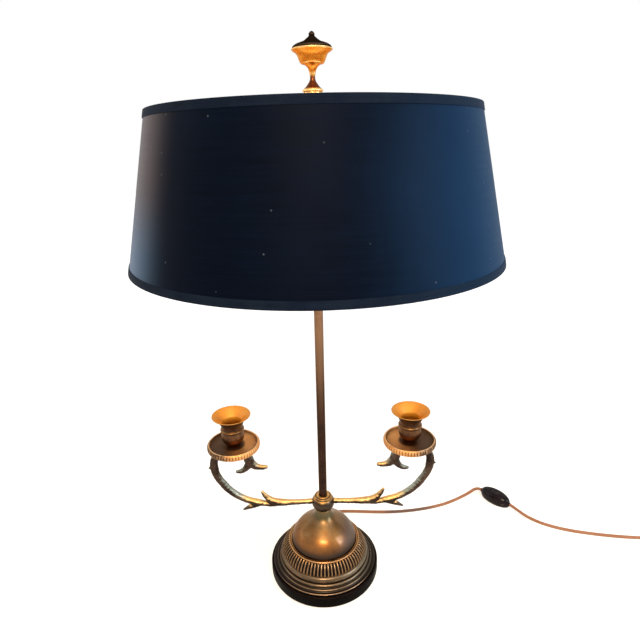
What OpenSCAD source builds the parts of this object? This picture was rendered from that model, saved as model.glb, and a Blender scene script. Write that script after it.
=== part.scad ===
// Bouillotte lamp: a weighted brass foot on an ebonised plinth, one threaded pipe as the stem,
// two cast twig arms with drip pans and candle cups, and a card shade on a harp.
// Origin: the middle of the underside. Z is the stem, X runs through both candle cups.

/* [Plinth] */
// Thickness of the felt under the plinth
felt_t = 1.5; // [1:0.5:3]
// Diameter of the turned wooden plinth
plinth_d = 130; // [124:1:150]
// Thickness of the plinth
plinth_h = 14.5; // [13:0.5:24]
// Rounding of the plinth's upper edge
plinth_round = 5; // [3:0.5:6]

/* [Brass foot] */
// Diameter of the foot's lowest ring
foot_d = 112; // [106:1:118]
// Height of the ringed foot up to the shoulder that carries the dome
foot_h = 15.5; // [13:0.5:18]
// Diameter of the dome where it stands on the foot
dome_d = 78.6; // [72:0.5:82]
// Height of the dome with its neck
dome_h = 55; // [50:1:66]
// Diameter of the dome's neck
neck_d = 17; // [15:0.5:20]
// Wall of the spun dome
dome_wall = 1.4; // [1:0.1:2]
// Height of the gadrooned band round the dome
band_h = 12; // [9:0.5:14]
// Number of lobes in the gadrooned band
band_lobes = 60; // [40:2:72]
// Depth of the lobes
lobe_depth = 1.1; // [0.6:0.1:1.6]

/* [Stem] */
// Outside diameter of the threaded stem pipe
pipe_d = 9.5; // [9:0.1:10.5]
// Bore of the stem pipe
pipe_bore = 7; // [6.6:0.1:7.4]
// Height of the harp saddle above the floor
saddle_z = 346; // [320:1:370]
// Height of the hub that holds the arms
hub_h = 19; // [17:0.5:24]
// Diameter of the hub
hub_d = 26.6; // [24:0.2:30]

/* [Arms] */
// Distance from the stem to each candle
arm_reach = 100; // [90:1:115]
// Rise from the arm's root to the seat of the drip pan
arm_rise = 78; // [70:1:88]
// Diameter of the round tenon at the arm's root
tenon_d = 6; // [5:0.2:7]
// Length of the tenon in the hub
tenon_l = 6; // [4:0.5:7]

/* [Candle cups] */
// Diameter of the drip pan
pan_d = 56.4; // [50:0.2:64]
// Height of the drip pan's fluted rim
pan_rim_h = 6.4; // [5:0.2:8]
// Number of flutes round the drip pan
pan_flutes = 54; // [40:2:66]
// Bore that takes the candle
candle_d = 21.5; // [20.5:0.1:22.5]
// Depth of the candle bore below the flare
candle_depth = 16; // [12:0.5:17]
// Height of the candle cup
cup_h = 38.4; // [36:0.2:42]
// Diameter of the cup's flared rim
cup_rim_d = 42.6; // [39:0.2:46]
// Wall of the cup round the candle
cup_wall = 1.2; // [1:0.1:1.6]

/* [Shade] */
// Diameter of the shade's top
shade_top_d = 295; // [280:1:310]
// Diameter of the shade's bottom
shade_bottom_d = 354.5; // [340:0.5:380]
// Height of the shade
shade_h = 134; // [120:1:150]
// Thickness of the shade card
shade_t = 1.2; // [1:0.1:2]
// Height of the folded trim at both edges
trim_h = 9.5; // [8:0.5:12]
// Diameter of the shade's ring wires
ring_wire_d = 2.6; // [2:0.1:3.2]

/* [Harp and socket] */
// Height of the harp from the saddle to the top of its plate
harp_h = 179; // [170:1:190]
// Widest span of the harp, wire middle to wire middle
harp_w = 104; // [96:1:112]
// Diameter of the harp wire
harp_wire_d = 3.2; // [2.8:0.1:3.6]
// Distance between the saddle's two posts
saddle_w = 60; // [56:1:66]
// Length of each locking sleeve
sleeve_l = 12; // [10:0.5:14]
// Outside diameter of the socket shell
socket_d = 33; // [32.4:0.1:34]
// Length of the socket shell
socket_l = 42; // [40:1:46]
// Diameter of the bulb's glass
bulb_d = 60; // [55:1:62]
// Diameter of the bulb's screw base
bulb_base_d = 26; // [25.6:0.1:26.4]

/* [Finial] */
// Diameter of the finial's rim
finial_d = 36.8; // [33:0.2:40]
// Height of the finial above the spider's washer
finial_h = 62.5; // [58:0.5:68]
// Diameter of the threaded stud on the harp
stud_d = 6.2; // [5.8:0.1:6.6]

/* [Cord and switch] */
// Diameter of the round supply cord
cord_d = 4; // [3.6:0.1:4.4]
// Length of the in-line switch body
switch_l = 44; // [42:1:56]
// Width of the in-line switch body
switch_w = 22; // [20:0.5:26]
// Height of the in-line switch body
switch_h = 15.5; // [15:0.5:18]
// Length of the plug body
plug_l = 30; // [27:1:34]

/* [Hidden] */

fit = 0.08;          // running fit on a radius
seat_gap = 0.1;      // slack between fixed pieces that nest
round_fn = 96;
small_fn = 36;
nothing = 0.01;

// Heights from the floor up
plinth_top = felt_t + plinth_h;
shoulder_z = plinth_top + foot_h;
neck_top = shoulder_z + dome_h;
hub_mid = neck_top + hub_h / 2;
pan_z = hub_mid + arm_rise;
cup_z = pan_z + 2.2;
harp_top = saddle_z + harp_h;
washer_t = 1.4;
finial_z = harp_top + washer_t + 0.3;
shade_top = harp_top + 0.6;
shade_bottom = shade_top - shade_h;

pipe_hole = pipe_d / 2 + seat_gap;
stud_hole = stud_d / 2 + fit;
nut_recess_d = 30;
nut_h = 3.2;
pipe_bottom = felt_t + 6;
washer_z = pipe_bottom + nut_h;
washer_h = 1.5;

// --- curves and sweeps -------------------------------------------------------

function unit(v) = v / norm(v);
function xyz(p) = [p[0], p[1], p[2]];

// Point on the smooth curve through p, with u from 0 to len(p) - 1
function curve_at(p, u) =
    let (i = min(floor(u), len(p) - 2), t = u - i, a = p[max(i - 1, 0)], b = p[i],
        c = p[i + 1], d = p[min(i + 2, len(p) - 1)])
    0.5 * (2 * b + (c - a) * t + (2 * a - 5 * b + 4 * c - d) * t * t
        + (3 * b - a - 3 * c + d) * t * t * t);

function smooth_path(p, steps) = [for (k = [0 : (len(p) - 1) * steps]) curve_at(p, k / steps)];

function heading(p, i) = unit(xyz(p[min(i + 1, len(p) - 1)]) - xyz(p[max(i - 1, 0)]));

// A round bar along a path of [x, y, z, radius]
module sweep(path, sides, up) {
    last = len(path) - 1;
    points = [for (i = [0 : last])
        let (d = heading(path, i), s = unit(cross(d, up)), t = cross(s, d))
        for (k = [0 : sides - 1]) let (a = 360 * k / sides)
            xyz(path[i]) + path[i][3] * (cos(a) * s + sin(a) * t)];
    skin = [for (i = [0 : last - 1]) for (k = [0 : sides - 1])
        let (a = i * sides + k, b = i * sides + (k + 1) % sides)
        each [[a, b, b + sides], [a, b + sides, a + sides]]];
    ends = [[for (k = [sides - 1 : -1 : 0]) k], [for (k = [0 : sides - 1]) last * sides + k]];
    polyhedron(points, concat(skin, ends), convexity = 10);
}

// A chain of rounded links, for thorns and bosses
module taper(a, b) {
    hull() {
        translate(xyz(a)) sphere(a[3], $fn = 10);
        translate(xyz(b)) sphere(b[3], $fn = 10);
    }
}

module ring_section(outer, inner, low, high) {
    translate([inner, low]) square([outer - inner, high - low]);
}

// --- foot ---------------------------------------------------------------------

module felt_pad() {
    color("darkolivegreen") cylinder(h = felt_t, d = plinth_d - 6, $fn = round_fn);
}

module plinth() {
    lower_round = 2;
    r = plinth_d / 2;
    color([0.07, 0.06, 0.06]) difference() {
        rotate_extrude($fn = round_fn) translate([0, felt_t]) difference() {
            union() {
                square([r - plinth_round, plinth_h]);
                translate([0, lower_round]) square([r, plinth_h - lower_round - plinth_round]);
                square([r - lower_round, lower_round * 2]);
                translate([r - plinth_round, plinth_h - plinth_round]) circle(plinth_round);
                translate([r - lower_round, lower_round]) circle(lower_round);
            }
            translate([-plinth_round, -plinth_round]) square([plinth_round, plinth_h * 2]);
        }
        cylinder(h = plinth_h * 3, r = pipe_hole, $fn = small_fn);
        cylinder(h = washer_z + washer_h, d = nut_recess_d, $fn = round_fn);
        translate([0, 0, channel_z]) rotate([-90, 0, 0])
            cylinder(h = plinth_d, r = channel_r, $fn = small_fn);
    }
}

channel_z = felt_t + 3.6;
channel_r = cord_d / 2 + 0.9;

module base_weight() {
    color([0.25, 0.25, 0.26]) difference() {
        translate([0, 0, plinth_top]) cylinder(h = foot_h - 4.5, d = dome_d + 10, $fn = round_fn);
        translate([0, 0, plinth_top - 1]) cylinder(h = foot_h, r = pipe_hole + 1, $fn = small_fn);
    }
}

// Ringed foot: lowest ring, bead, cove, torus and the shoulder under the dome
module foot() {
    r = foot_d / 2;
    h = foot_h;
    edge_h = h * 0.15;
    bead_r = h * 0.13;
    torus_r = h * 0.195;
    cavity_h = h - 3.5;
    color("goldenrod") difference() {
        rotate_extrude($fn = round_fn) translate([0, plinth_top]) difference() {
            union() {
                square([r - 0.5, edge_h]);
                translate([0, 0.5]) square([r, edge_h - 1]);
                translate([r - 0.5, 0.5]) circle(0.5, $fn = 16);
                translate([r - 0.5, edge_h - 0.5]) circle(0.5, $fn = 16);
                translate([r - 1.6 - bead_r, edge_h + bead_r + 0.6]) circle(bead_r, $fn = 24);
                square([r - 2.6, edge_h + 1]);
                square([r - 4, h * 0.8]);
                translate([r - 6.4, h - torus_r]) circle(torus_r, $fn = 32);
                square([r - 6.4, h]);
            }
            translate([-r, -1]) square([r, h * 2]);
        }
        translate([0, 0, plinth_top - 1]) cylinder(h = h * 2, r = pipe_hole, $fn = small_fn);
        translate([0, 0, plinth_top - 1]) cylinder(h = cavity_h + 1, d = dome_d + 11, $fn = round_fn);
    }
}

// Band of lobes that lean in towards the dome: the outline of each lobe is a rounded rib
module gadroon_band() {
    steps = 4;
    count = band_lobes * steps;
    inner_r = dome_d / 2 + seat_gap;
    low_r = foot_d / 2 - 6.4;
    top_r = inner_r + 1.6;
    section = [[inner_r, 0, 0], [low_r - lobe_depth, 0, 0], [low_r, 0.1, 1], [low_r - 0.7, 0.35, 1],
        [(low_r + top_r) / 2 + 0.8, 0.68, 1], [top_r + 0.6, 0.9, 0.8], [top_r, 1, 0], [inner_r, 1, 0]];
    m = len(section);
    points = [for (i = [0 : count - 1]) let (a = 360 * i / count,
            lobe = abs(cos(180 * i / steps)) - 1)
        for (s = section) let (q = s[0] + lobe * lobe_depth * s[2])
            [q * cos(a), q * sin(a), shoulder_z + band_h * s[1]]];
    faces = [for (i = [0 : count - 1]) for (k = [0 : m - 1])
        let (a = i * m + k, b = i * m + (k + 1) % m, c = ((i + 1) % count) * m + (k + 1) % m,
            d = ((i + 1) % count) * m + k)
        each [[a, b, c], [a, c, d]]];
    color("gold") polyhedron(points, faces, convexity = 10);
}

// Outline of the dome from its foot to its neck, for a given wall to take off
function dome_line(off) = [for (p = [[1, 0], [1, 0.19], [0.955, 0.34], [0.85, 0.49], [0.69, 0.61],
        [0.52, 0.69], [0.33, 0.77], [0.235, 0.845]])
    [neck_d / 2 + (dome_d / 2 - neck_d / 2) * (p[0] - 0.22) / 0.78 - off, p[1] * dome_h]];

module dome() {
    r = neck_d / 2;
    outer = concat([[0, 0]], dome_line(0), [[r, dome_h * 0.9], [r, dome_h * 0.95],
        [r + 1.8, dome_h], [0, dome_h]]);
    inner = concat([[0, -1]], [[dome_d / 2 - dome_wall, -1]], dome_line(dome_wall),
        [[0, dome_h * 0.845]]);
    color("goldenrod") difference() {
        translate([0, 0, shoulder_z]) rotate_extrude($fn = round_fn) polygon(outer);
        translate([0, 0, shoulder_z]) rotate_extrude($fn = round_fn) polygon(inner);
        translate([0, 0, shoulder_z]) cylinder(h = dome_h + 1, r = pipe_hole, $fn = small_fn);
    }
}

module bottom_nut() {
    color("silver") difference() {
        translate([0, 0, pipe_bottom]) cylinder(h = nut_h, d = 16, $fn = 6);
        translate([0, 0, pipe_bottom - 1]) cylinder(h = nut_h + 2, r = pipe_hole, $fn = small_fn);
    }
}

module bottom_washer() {
    color("silver") difference() {
        translate([0, 0, washer_z]) cylinder(h = washer_h, d = 24, $fn = small_fn);
        cylinder(h = plinth_top, r = pipe_hole, $fn = small_fn);
    }
}

// --- stem -----------------------------------------------------------------------

module stem_pipe() {
    color([0.28, 0.18, 0.13]) difference() {
        translate([0, 0, pipe_bottom]) cylinder(h = pipe_top - pipe_bottom, d = pipe_d, $fn = small_fn);
        translate([0, 0, pipe_bottom - 1]) cylinder(h = pipe_top, d = pipe_bore, $fn = small_fn);
    }
}

module hub() {
    r = hub_d / 2;
    line = [[0, 0], [r * 0.7, 0], [r * 0.86, hub_h * 0.16], [r * 0.98, hub_h * 0.32],
        [r, hub_h * 0.42], [r, hub_h * 0.6], [r * 0.94, hub_h * 0.72], [r * 0.72, hub_h * 0.86],
        [r * 0.66, hub_h * 0.88], [r * 0.58, hub_h * 0.98], [r * 0.5, hub_h], [0, hub_h]];
    color("goldenrod") difference() {
        translate([0, 0, neck_top]) rotate_extrude($fn = round_fn) polygon(line);
        translate([0, 0, neck_top - 1]) cylinder(h = hub_h + 2, r = pipe_hole, $fn = small_fn);
        for (side = [-1, 1]) translate([side * (r + 1), 0, hub_mid]) rotate([0, -90 * side, 0])
            cylinder(h = tenon_l + 1.2, r = tenon_d / 2 + fit, $fn = small_fn);
    }
}

// --- arms ------------------------------------------------------------------------

// Arm outline in shares of reach and rise, then the twig's radius
main_twig = [[0.50, -0.035, 2.4], [0.62, -0.035, 3.0], [0.75, 0.0, 3.1], [0.87, 0.045, 3.1],
    [0.99, 0.125, 3.2], [1.09, 0.235, 3.4], [1.17, 0.37, 3.7], [1.23, 0.52, 4.1],
    [1.25, 0.66, 4.3], [1.235, 0.79, 4.3], [1.17, 0.885, 4.2], [1.07, 0.93, 4.2],
    [0.96, 0.925, 4.3], [0.88, 0.87, 4.6], [0.845, 0.78, 4.9], [0.83, 0.70, 4.4]];
root_twig = [[0.22, -0.004, 3.0], [0.34, -0.01, 3.3], [0.46, -0.01, 3.9],
    [0.56, 0.006, 4.1], [0.63, 0.05, 3.5], [0.685, 0.125, 2.4], [0.72, 0.215, 0.9]];
thorns = [
    [[0.77, -0.02, 2.7], [0.86, -0.06, 1.9], [0.93, -0.115, 0.7]],
    [[1.255, 0.645, 3.6], [1.315, 0.63, 0.8]],
    [[0.83, 0.70, 4.4], [0.76, 0.645, 3.3], [0.69, 0.63, 2.6], [0.635, 0.645, 1.3]],
    [[0.83, 0.70, 4.4], [0.88, 0.625, 3.4], [0.94, 0.57, 2.5], [0.985, 0.575, 1.6]]];

function arm_point(p) = [arm_reach * p[0], 0, hub_mid + arm_rise * p[1], p[2]];

module arm() {
    boss_h = 0.075 * arm_rise;
    screw_z = pan_z - boss_h;
    root = [hub_d / 2 + 0.3, 0, hub_mid, tenon_d / 2 + 0.1];
    difference() {
        union() {
            sweep(smooth_path([for (p = main_twig) arm_point(p)], 2), 12, [0, 1, 0]);
            sweep(smooth_path(concat([root], [for (p = root_twig) arm_point(p)]), 2), 12, [0, 1, 0]);
            for (t = thorns) for (i = [0 : len(t) - 2]) taper(arm_point(t[i]), arm_point(t[i + 1]));
            translate([hub_d / 2 - tenon_l, 0, hub_mid]) rotate([0, 90, 0])
                cylinder(h = tenon_l + 4, d = tenon_d, $fn = 24);
            translate([arm_reach, 0, screw_z]) cylinder(h = boss_h, d = 12, $fn = 24);
        }
        translate([arm_reach, 0, screw_z - 1]) cylinder(h = boss_h * 2, r = screw_hole, $fn = 24);
    }
}

module arm_right() { color("darkgoldenrod") arm(); }
module arm_left() { color("darkgoldenrod") mirror([1, 0, 0]) arm(); }

// --- drip pans and candle cups -----------------------------------------------------

screw_r = 1.9;
screw_hole = screw_r + seat_gap;
screw_head_r = 3.6;
screw_head_h = 2;

module drip_pan() {
    steps = 4;
    rim_r = pan_d / 2;
    rim_w = 2.4;
    flute = 0.5;
    rim_low = -0.6;
    count = pan_flutes * steps;
    outline = [for (i = [0 : count - 1]) let (a = 360 * i / count,
            q = rim_r - flute + flute * abs(cos(180 * i / steps)))
        [q * cos(a), q * sin(a)]];
    color("goldenrod") translate([arm_reach, 0, pan_z]) difference() {
        union() {
            translate([0, 0, rim_low]) linear_extrude(pan_rim_h) difference() {
                polygon(outline);
                circle(rim_r - rim_w, $fn = round_fn);
            }
            rotate_extrude($fn = round_fn) polygon([[0, 0], [rim_r * 0.5, 0],
                [rim_r * 0.8, 0.8], [rim_r - rim_w + 0.5, 2.4], [rim_r - rim_w + 0.5, 4.4],
                [rim_r * 0.8, 3], [rim_r * 0.5, 2.2], [0, 2.2]]);
        }
        translate([0, 0, -1]) cylinder(h = 5, r = screw_hole, $fn = small_fn);
    }
}

module drip_pan_right() { drip_pan(); }
module drip_pan_left() { mirror([1, 0, 0]) drip_pan(); }

// Trumpet rim, neck, bead and rounded body, turned from one piece
module candle_cup() {
    bore_r = candle_d / 2;
    neck_r = bore_r + cup_wall;
    rim_r = cup_rim_d / 2;
    throat = cup_h - 12.2;
    floor_z = throat - candle_depth;
    bead_z = floor_z + 6.4;
    outer = [[0, 0], [neck_r * 0.64, 0], [neck_r * 0.68, floor_z * 0.2],
        [neck_r * 0.84, floor_z * 0.5], [neck_r * 0.97, floor_z * 0.82], [neck_r, floor_z],
        [neck_r, throat - 2], [neck_r + 0.5, throat], [neck_r + 2.3, throat + 4.2],
        [neck_r + 5.2, throat + 8.4], [rim_r - 0.6, cup_h - 1], [rim_r, cup_h - 0.5],
        [rim_r, cup_h], [rim_r - 1, cup_h], [neck_r + 4.1, throat + 9.4],
        [neck_r + 1.1, throat + 4.8], [bore_r + 0.5, throat + 1.2], [bore_r, throat],
        [bore_r, floor_z], [0, floor_z]];
    color("goldenrod") translate([arm_reach, 0, cup_z]) difference() {
        union() {
            rotate_extrude($fn = round_fn) polygon(outer);
            rotate_extrude($fn = round_fn) difference() {
                translate([neck_r - 0.4, bead_z]) circle(1.9, $fn = 24);
                translate([0, bead_z - 3]) square([neck_r - cup_wall / 2, 6]);
            }
        }
        translate([0, 0, -1]) cylinder(h = cup_h, r = screw_hole, $fn = small_fn);
        translate([0, 0, floor_z - screw_head_h - 0.4])
            cylinder(h = screw_head_h + 1, r = screw_head_r + seat_gap, $fn = small_fn);
    }
}

module candle_cup_right() { candle_cup(); }
module candle_cup_left() { mirror([1, 0, 0]) candle_cup(); }

module cup_screws() {
    head_z = cup_z + cup_h - 12.2 - candle_depth - screw_head_h - 0.4;
    tip_z = pan_z - 4.5;
    color("silver") for (side = [-1, 1]) translate([side * arm_reach, 0, 0]) {
        translate([0, 0, head_z]) cylinder(h = screw_head_h, r = screw_head_r, $fn = small_fn);
        translate([0, 0, tip_z]) cylinder(h = head_z - tip_z + 1, r = screw_r, $fn = small_fn);
    }
}

// --- harp and socket ---------------------------------------------------------------

saddle_t = 1.6;
saddle_up = 12;
post_r = 1.5;
post_h = 4;
shelf_z = saddle_z + saddle_up;

module lock_nut() {
    color("goldenrod") difference() {
        translate([0, 0, saddle_z - nut_h]) cylinder(h = nut_h, d = 15, $fn = 6);
        translate([0, 0, saddle_z - nut_h - 1]) cylinder(h = nut_h + 2, r = pipe_hole, $fn = small_fn);
    }
}

// Bent strap with a shelf and a post for each end of the harp
module harp_saddle() {
    half = saddle_w / 2;
    strap = [[-half, saddle_up], [-half - 0.8, saddle_up], [-half - 0.8, 6], [-half * 0.42, 0],
        [half * 0.42, 0], [half + 0.8, 6], [half + 0.8, saddle_up], [half, saddle_up],
        [half - 0.8, saddle_up], [half - 0.8, 6.8], [half * 0.4, saddle_t], [-half * 0.4, saddle_t],
        [-half + 0.8, 6.8], [-half + 0.8, saddle_up]];
    color("goldenrod") difference() {
        union() {
            translate([0, 5, saddle_z]) rotate([90, 0, 0]) linear_extrude(10) polygon(strap);
            for (side = [-1, 1]) translate([side * half, 0, 0]) {
                translate([0, 0, shelf_z - 1.5]) cylinder(h = 1.5, r = sleeve_r + 0.4, $fn = small_fn);
                translate([0, 0, shelf_z]) cylinder(h = post_h, r = post_r, $fn = small_fn);
            }
        }
        translate([0, 0, saddle_z - 1]) cylinder(h = 5, r = pipe_hole, $fn = small_fn);
    }
}

sleeve_r = harp_wire_d / 2 + 1.6;

// Two bowed legs, straight where the sleeves slide, that meet the sides of the top plate
module harp_wire() {
    r = harp_wire_d / 2;
    half = saddle_w / 2;
    wide = harp_w / 2;
    low = shelf_z + post_h;
    straight = sleeve_l * 2 + 3 - post_h;
    top = harp_top - plate_t / 2 - 0.55;
    rise = top - low - straight;
    edge = plate_w / 2 + 0.15;
    leg = [[half, 0, low, r], [half, 0, low + straight, r], [half, 0, low + straight + 4, r],
        [half + (wide - half) * 0.62, 0, low + straight + rise * 0.22, r],
        [wide, 0, low + straight + rise * 0.45, r],
        [wide * 0.93, 0, low + straight + rise * 0.68, r],
        [wide * 0.66, 0, low + straight + rise * 0.89, r],
        [wide * 0.48, 0, top - 6.4, r], [wide * 0.32, 0, top - 1.6, r],
        [edge + 3, 0, top - 0.2, r], [edge, 0, top, r]];
    color([0.8, 0.7, 0.4]) for (side = [0, 1]) mirror([side, 0, 0])
        sweep(smooth_path(leg, 3), 8, [0, 1, 0]);
}

plate_t = 4.4;
plate_w = 16;

module harp_plate() {
    color("goldenrod") {
        translate([-plate_w / 2, -5, harp_top - plate_t]) cube([plate_w, 10, plate_t]);
        translate([0, 0, harp_top - nothing]) cylinder(h = 13, d = stud_d, $fn = small_fn);
    }
}

module sleeve(side) {
    color("goldenrod") translate([side * saddle_w / 2, 0, shelf_z]) difference() {
        cylinder(h = sleeve_l, r = sleeve_r, $fn = small_fn);
        translate([0, 0, -1]) cylinder(h = sleeve_l + 2, r = harp_wire_d / 2 + 0.3, $fn = small_fn);
    }
}

module sleeve_left() { sleeve(-1); }
module sleeve_right() { sleeve(1); }

cap_z = saddle_z + saddle_t;
cap_wall = 0.8;
cap_neck_h = 7;
cap_h = 17;
pipe_top = cap_z + cap_neck_h + 0.5;
shell_z = cap_z + cap_neck_h + 5.9;
core_z = cap_z + cap_neck_h + 1.9;

module socket_cap() {
    r = socket_d / 2 + cap_wall + seat_gap;
    line = [[0, 0], [7.4, 0], [7.4, cap_neck_h], [8.6, cap_neck_h + 0.8], [r * 0.8, cap_neck_h + 2.6],
        [r, cap_neck_h + 5.6], [r, cap_h], [r - cap_wall, cap_h], [r - cap_wall, cap_neck_h + 5.8],
        [r * 0.78, cap_neck_h + 3.4], [8, cap_neck_h + 1.8], [0, cap_neck_h + 1.8]];
    color("gold") difference() {
        translate([0, 0, cap_z]) rotate_extrude($fn = round_fn) polygon(line);
        translate([0, 0, cap_z - 1]) cylinder(h = 12, r = pipe_hole, $fn = small_fn);
    }
}

module socket_shell() {
    r = socket_d / 2;
    color("gold") rotate_extrude($fn = round_fn) translate([0, shell_z]) {
        ring_section(r, r - 0.6, 0, socket_l);
        translate([r, socket_l - 4]) circle(0.5, $fn = 16);
    }
}

liner_r = socket_d / 2 - 0.7;

module socket_liner() {
    color([0.5, 0.36, 0.25]) rotate_extrude($fn = round_fn) translate([0, shell_z])
        ring_section(liner_r, liner_r - 0.7, 0, socket_l - 1);
}

module socket_core() {
    sleeve = bulb_base_d / 2 + fit;
    color("ivory") difference() {
        union() {
            translate([0, 0, core_z]) cylinder(h = 4, r = 7.8, $fn = round_fn);
            translate([0, 0, core_z + 2.8]) cylinder(h = bulb_tip_z - core_z, r = liner_r - 3.4, $fn = round_fn);
            translate([0, 0, bulb_tip_z - 3])
                cylinder(h = bulb_screw_l + 2, r = sleeve + 0.9, $fn = round_fn);
        }
        translate([0, 0, bulb_tip_z - 0.3]) cylinder(h = socket_l, r = sleeve, $fn = round_fn);
        translate([0, 0, core_z - 1]) cylinder(h = 5, r = cord_r + 0.5, $fn = small_fn);
    }
}

bulb_screw_l = 26;
bulb_tip_z = shell_z + socket_l - bulb_screw_l - 8;

module bulb_base() {
    r = bulb_base_d / 2;
    color("silver") translate([0, 0, bulb_tip_z]) rotate_extrude($fn = round_fn)
        polygon([[0, 0], [4, 0], [5, 1.5], [r * 0.8, 4], [r, 6], [r, bulb_screw_l], [0, bulb_screw_l]]);
}

module bulb_glass() {
    r = bulb_d / 2;
    neck_r = bulb_base_d / 2 + 0.3;
    line = [[0, 0], [neck_r, 0], [neck_r + 0.4, 5], [neck_r + 1.2, 10], [r * 0.63, r * 0.67],
        [r * 0.87, r * 1.15],
        [r, r * 1.6], [r * 0.99, r * 1.8], [r * 0.92, r * 2.1], [r * 0.74, r * 2.4],
        [r * 0.45, r * 2.61], [0, r * 2.7]];
    color([1, 0.97, 0.85]) translate([0, 0, bulb_tip_z + bulb_screw_l])
        rotate_extrude($fn = round_fn) polygon(line);
}

// --- shade ---------------------------------------------------------------------------

shade_top_r = shade_top_d / 2;
shade_bottom_r = shade_bottom_d / 2;
function shade_r(z) = shade_top_r + (shade_bottom_r - shade_top_r) * (shade_top - z) / shade_h;

// A cone-shaped skin with its outer face "out" beyond the card, between two heights
module skin(out, thick, low, high) {
    rotate_extrude($fn = round_fn) polygon([[shade_r(low) + out, low], [shade_r(high) + out, high],
        [shade_r(high) + out - thick, high], [shade_r(low) + out - thick, low]]);
}

module shade_card() {
    color([0.07, 0.08, 0.13]) skin(0, shade_t, shade_bottom, shade_top);
}

trim_t = 0.5;

// Folded strip: an outer and an inner leaf joined over the card's edge
module trim(low, high, fold_low, fold_high) {
    color([0.1, 0.11, 0.16]) {
        skin(trim_t + 0.05, trim_t, low, high);
        skin(-shade_t - 0.05, trim_t, low, high);
        skin(trim_t + 0.05, shade_t + 2 * trim_t + 0.1, fold_low, fold_high);
    }
}

module top_trim() {
    trim(shade_top - trim_h, shade_top + trim_t, shade_top + 0.05, shade_top + trim_t);
}

module bottom_trim() {
    trim(shade_bottom - trim_t, shade_bottom + trim_h, shade_bottom - trim_t, shade_bottom - 0.05);
}

wire_r = ring_wire_d / 2;
wire_in = shade_t + trim_t + 0.15 + wire_r * 1.02;
top_ring_z = shade_top - 3;
bottom_ring_z = shade_bottom + 3;

module ring_wire(r, z) {
    translate([0, 0, z]) rotate_extrude($fn = round_fn) translate([r, 0]) circle(wire_r, $fn = 24);
}

module bottom_ring() {
    color([0.8, 0.7, 0.4]) ring_wire(shade_r(bottom_ring_z) - wire_in, bottom_ring_z);
}

// Top ring, three spokes and the washer that drops over the stud
module spider() {
    ring_r = shade_r(top_ring_z) - wire_in;
    washer_r = 12;
    spoke_rise = harp_top + 0.25 - top_ring_z;
    spoke_l = norm([ring_r - washer_r + 2, spoke_rise]);
    color([0.8, 0.7, 0.4]) difference() {
        union() {
            ring_wire(ring_r, top_ring_z);
            translate([0, 0, harp_top]) cylinder(h = washer_t, r = washer_r, $fn = small_fn);
            for (a = [90, 210, 330]) rotate([0, 0, a]) translate([ring_r, 0, top_ring_z])
                rotate([0, -atan2(ring_r - washer_r + 2, spoke_rise), 0])
                    cylinder(h = spoke_l, r = wire_r * 0.85, $fn = small_fn);
        }
        translate([0, 0, harp_top - 5]) cylinder(h = 10, r = stud_hole, $fn = small_fn);
        translate([0, 0, finial_z]) cylinder(h = 3, r = washer_r + 4, $fn = small_fn);
        translate([0, 0, harp_top - 3]) cylinder(h = 3, r = washer_r, $fn = small_fn);
    }
}

// --- finial ---------------------------------------------------------------------------

urn_z = finial_z + finial_h * 0.46;
lid_z = finial_z + finial_h * 0.785;

module finial_base() {
    r = finial_d / 2;
    h = finial_h;
    color("goldenrod") translate([0, 0, finial_z]) difference() {
        rotate_extrude($fn = round_fn) polygon([[0, 0], [r * 0.45, 0], [r * 0.45, h * 0.235],
            [r * 0.5, h * 0.245], [r * 0.5, h * 0.285], [r * 0.45, h * 0.3], [r * 0.39, h * 0.32],
            [r * 0.27, h * 0.355], [r * 0.21, h * 0.39], [r * 0.165, h * 0.43],
            [r * 0.147, h * 0.46], [0, h * 0.46]]);
        translate([0, 0, -1]) cylinder(h = 15, r = stud_hole, $fn = small_fn);
    }
}

module finial_urn() {
    r = finial_d / 2;
    h = finial_h;
    color("orange") translate([0, 0, urn_z]) rotate_extrude($fn = round_fn)
        polygon([[0, 0], [r * 0.147, 0], [r * 0.165, h * 0.035], [r * 0.24, h * 0.08],
            [r * 0.35, h * 0.12], [r * 0.5, h * 0.15], [r * 0.58, h * 0.163], [r * 0.62, h * 0.182],
            [r * 0.68, h * 0.225], [r * 0.74, h * 0.25], [r * 0.86, h * 0.27], [r, h * 0.3],
            [r, h * 0.315], [r * 0.95, h * 0.325], [0, h * 0.325]]);
}

module finial_lid() {
    r = finial_d / 2;
    h = finial_h;
    color([0.2, 0.16, 0.13]) translate([0, 0, lid_z]) rotate_extrude($fn = round_fn)
        polygon([[0, 0], [r * 0.94, 0], [r * 0.95, h * 0.015], [r * 0.84, h * 0.04],
            [r * 0.63, h * 0.063], [r * 0.47, h * 0.08], [r * 0.36, h * 0.1], [r * 0.25, h * 0.125],
            [r * 0.16, h * 0.145], [r * 0.13, h * 0.155], [r * 0.15, h * 0.17],
            [r * 0.11, h * 0.19], [0, h * 0.215]]);
}

// --- cord, switch and plug --------------------------------------------------------------

cord_r = cord_d / 2;
floor_z = cord_r + 0.02;
gland_out = 5;
bend_r = 3;
inner_top = core_z + 3;

gland_in = 8;

// Cord inside the lamp: along the plinth's channel, round a bend and up the pipe
module inner_cord() {
    color([0.45, 0.26, 0.16]) {
        translate([0, bend_r, channel_z]) rotate([-90, 0, 0])
            cylinder(h = plinth_d / 2 + gland_out - bend_r, r = cord_r, $fn = small_fn);
        translate([0, bend_r, channel_z + bend_r]) rotate([0, 90, 0]) rotate([0, 0, -90])
            rotate_extrude(angle = 90, $fn = small_fn) translate([bend_r, 0]) circle(cord_r, $fn = 24);
        translate([0, 0, channel_z + bend_r])
            cylinder(h = inner_top - channel_z - bend_r, r = cord_r, $fn = small_fn);
    }
}

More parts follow.
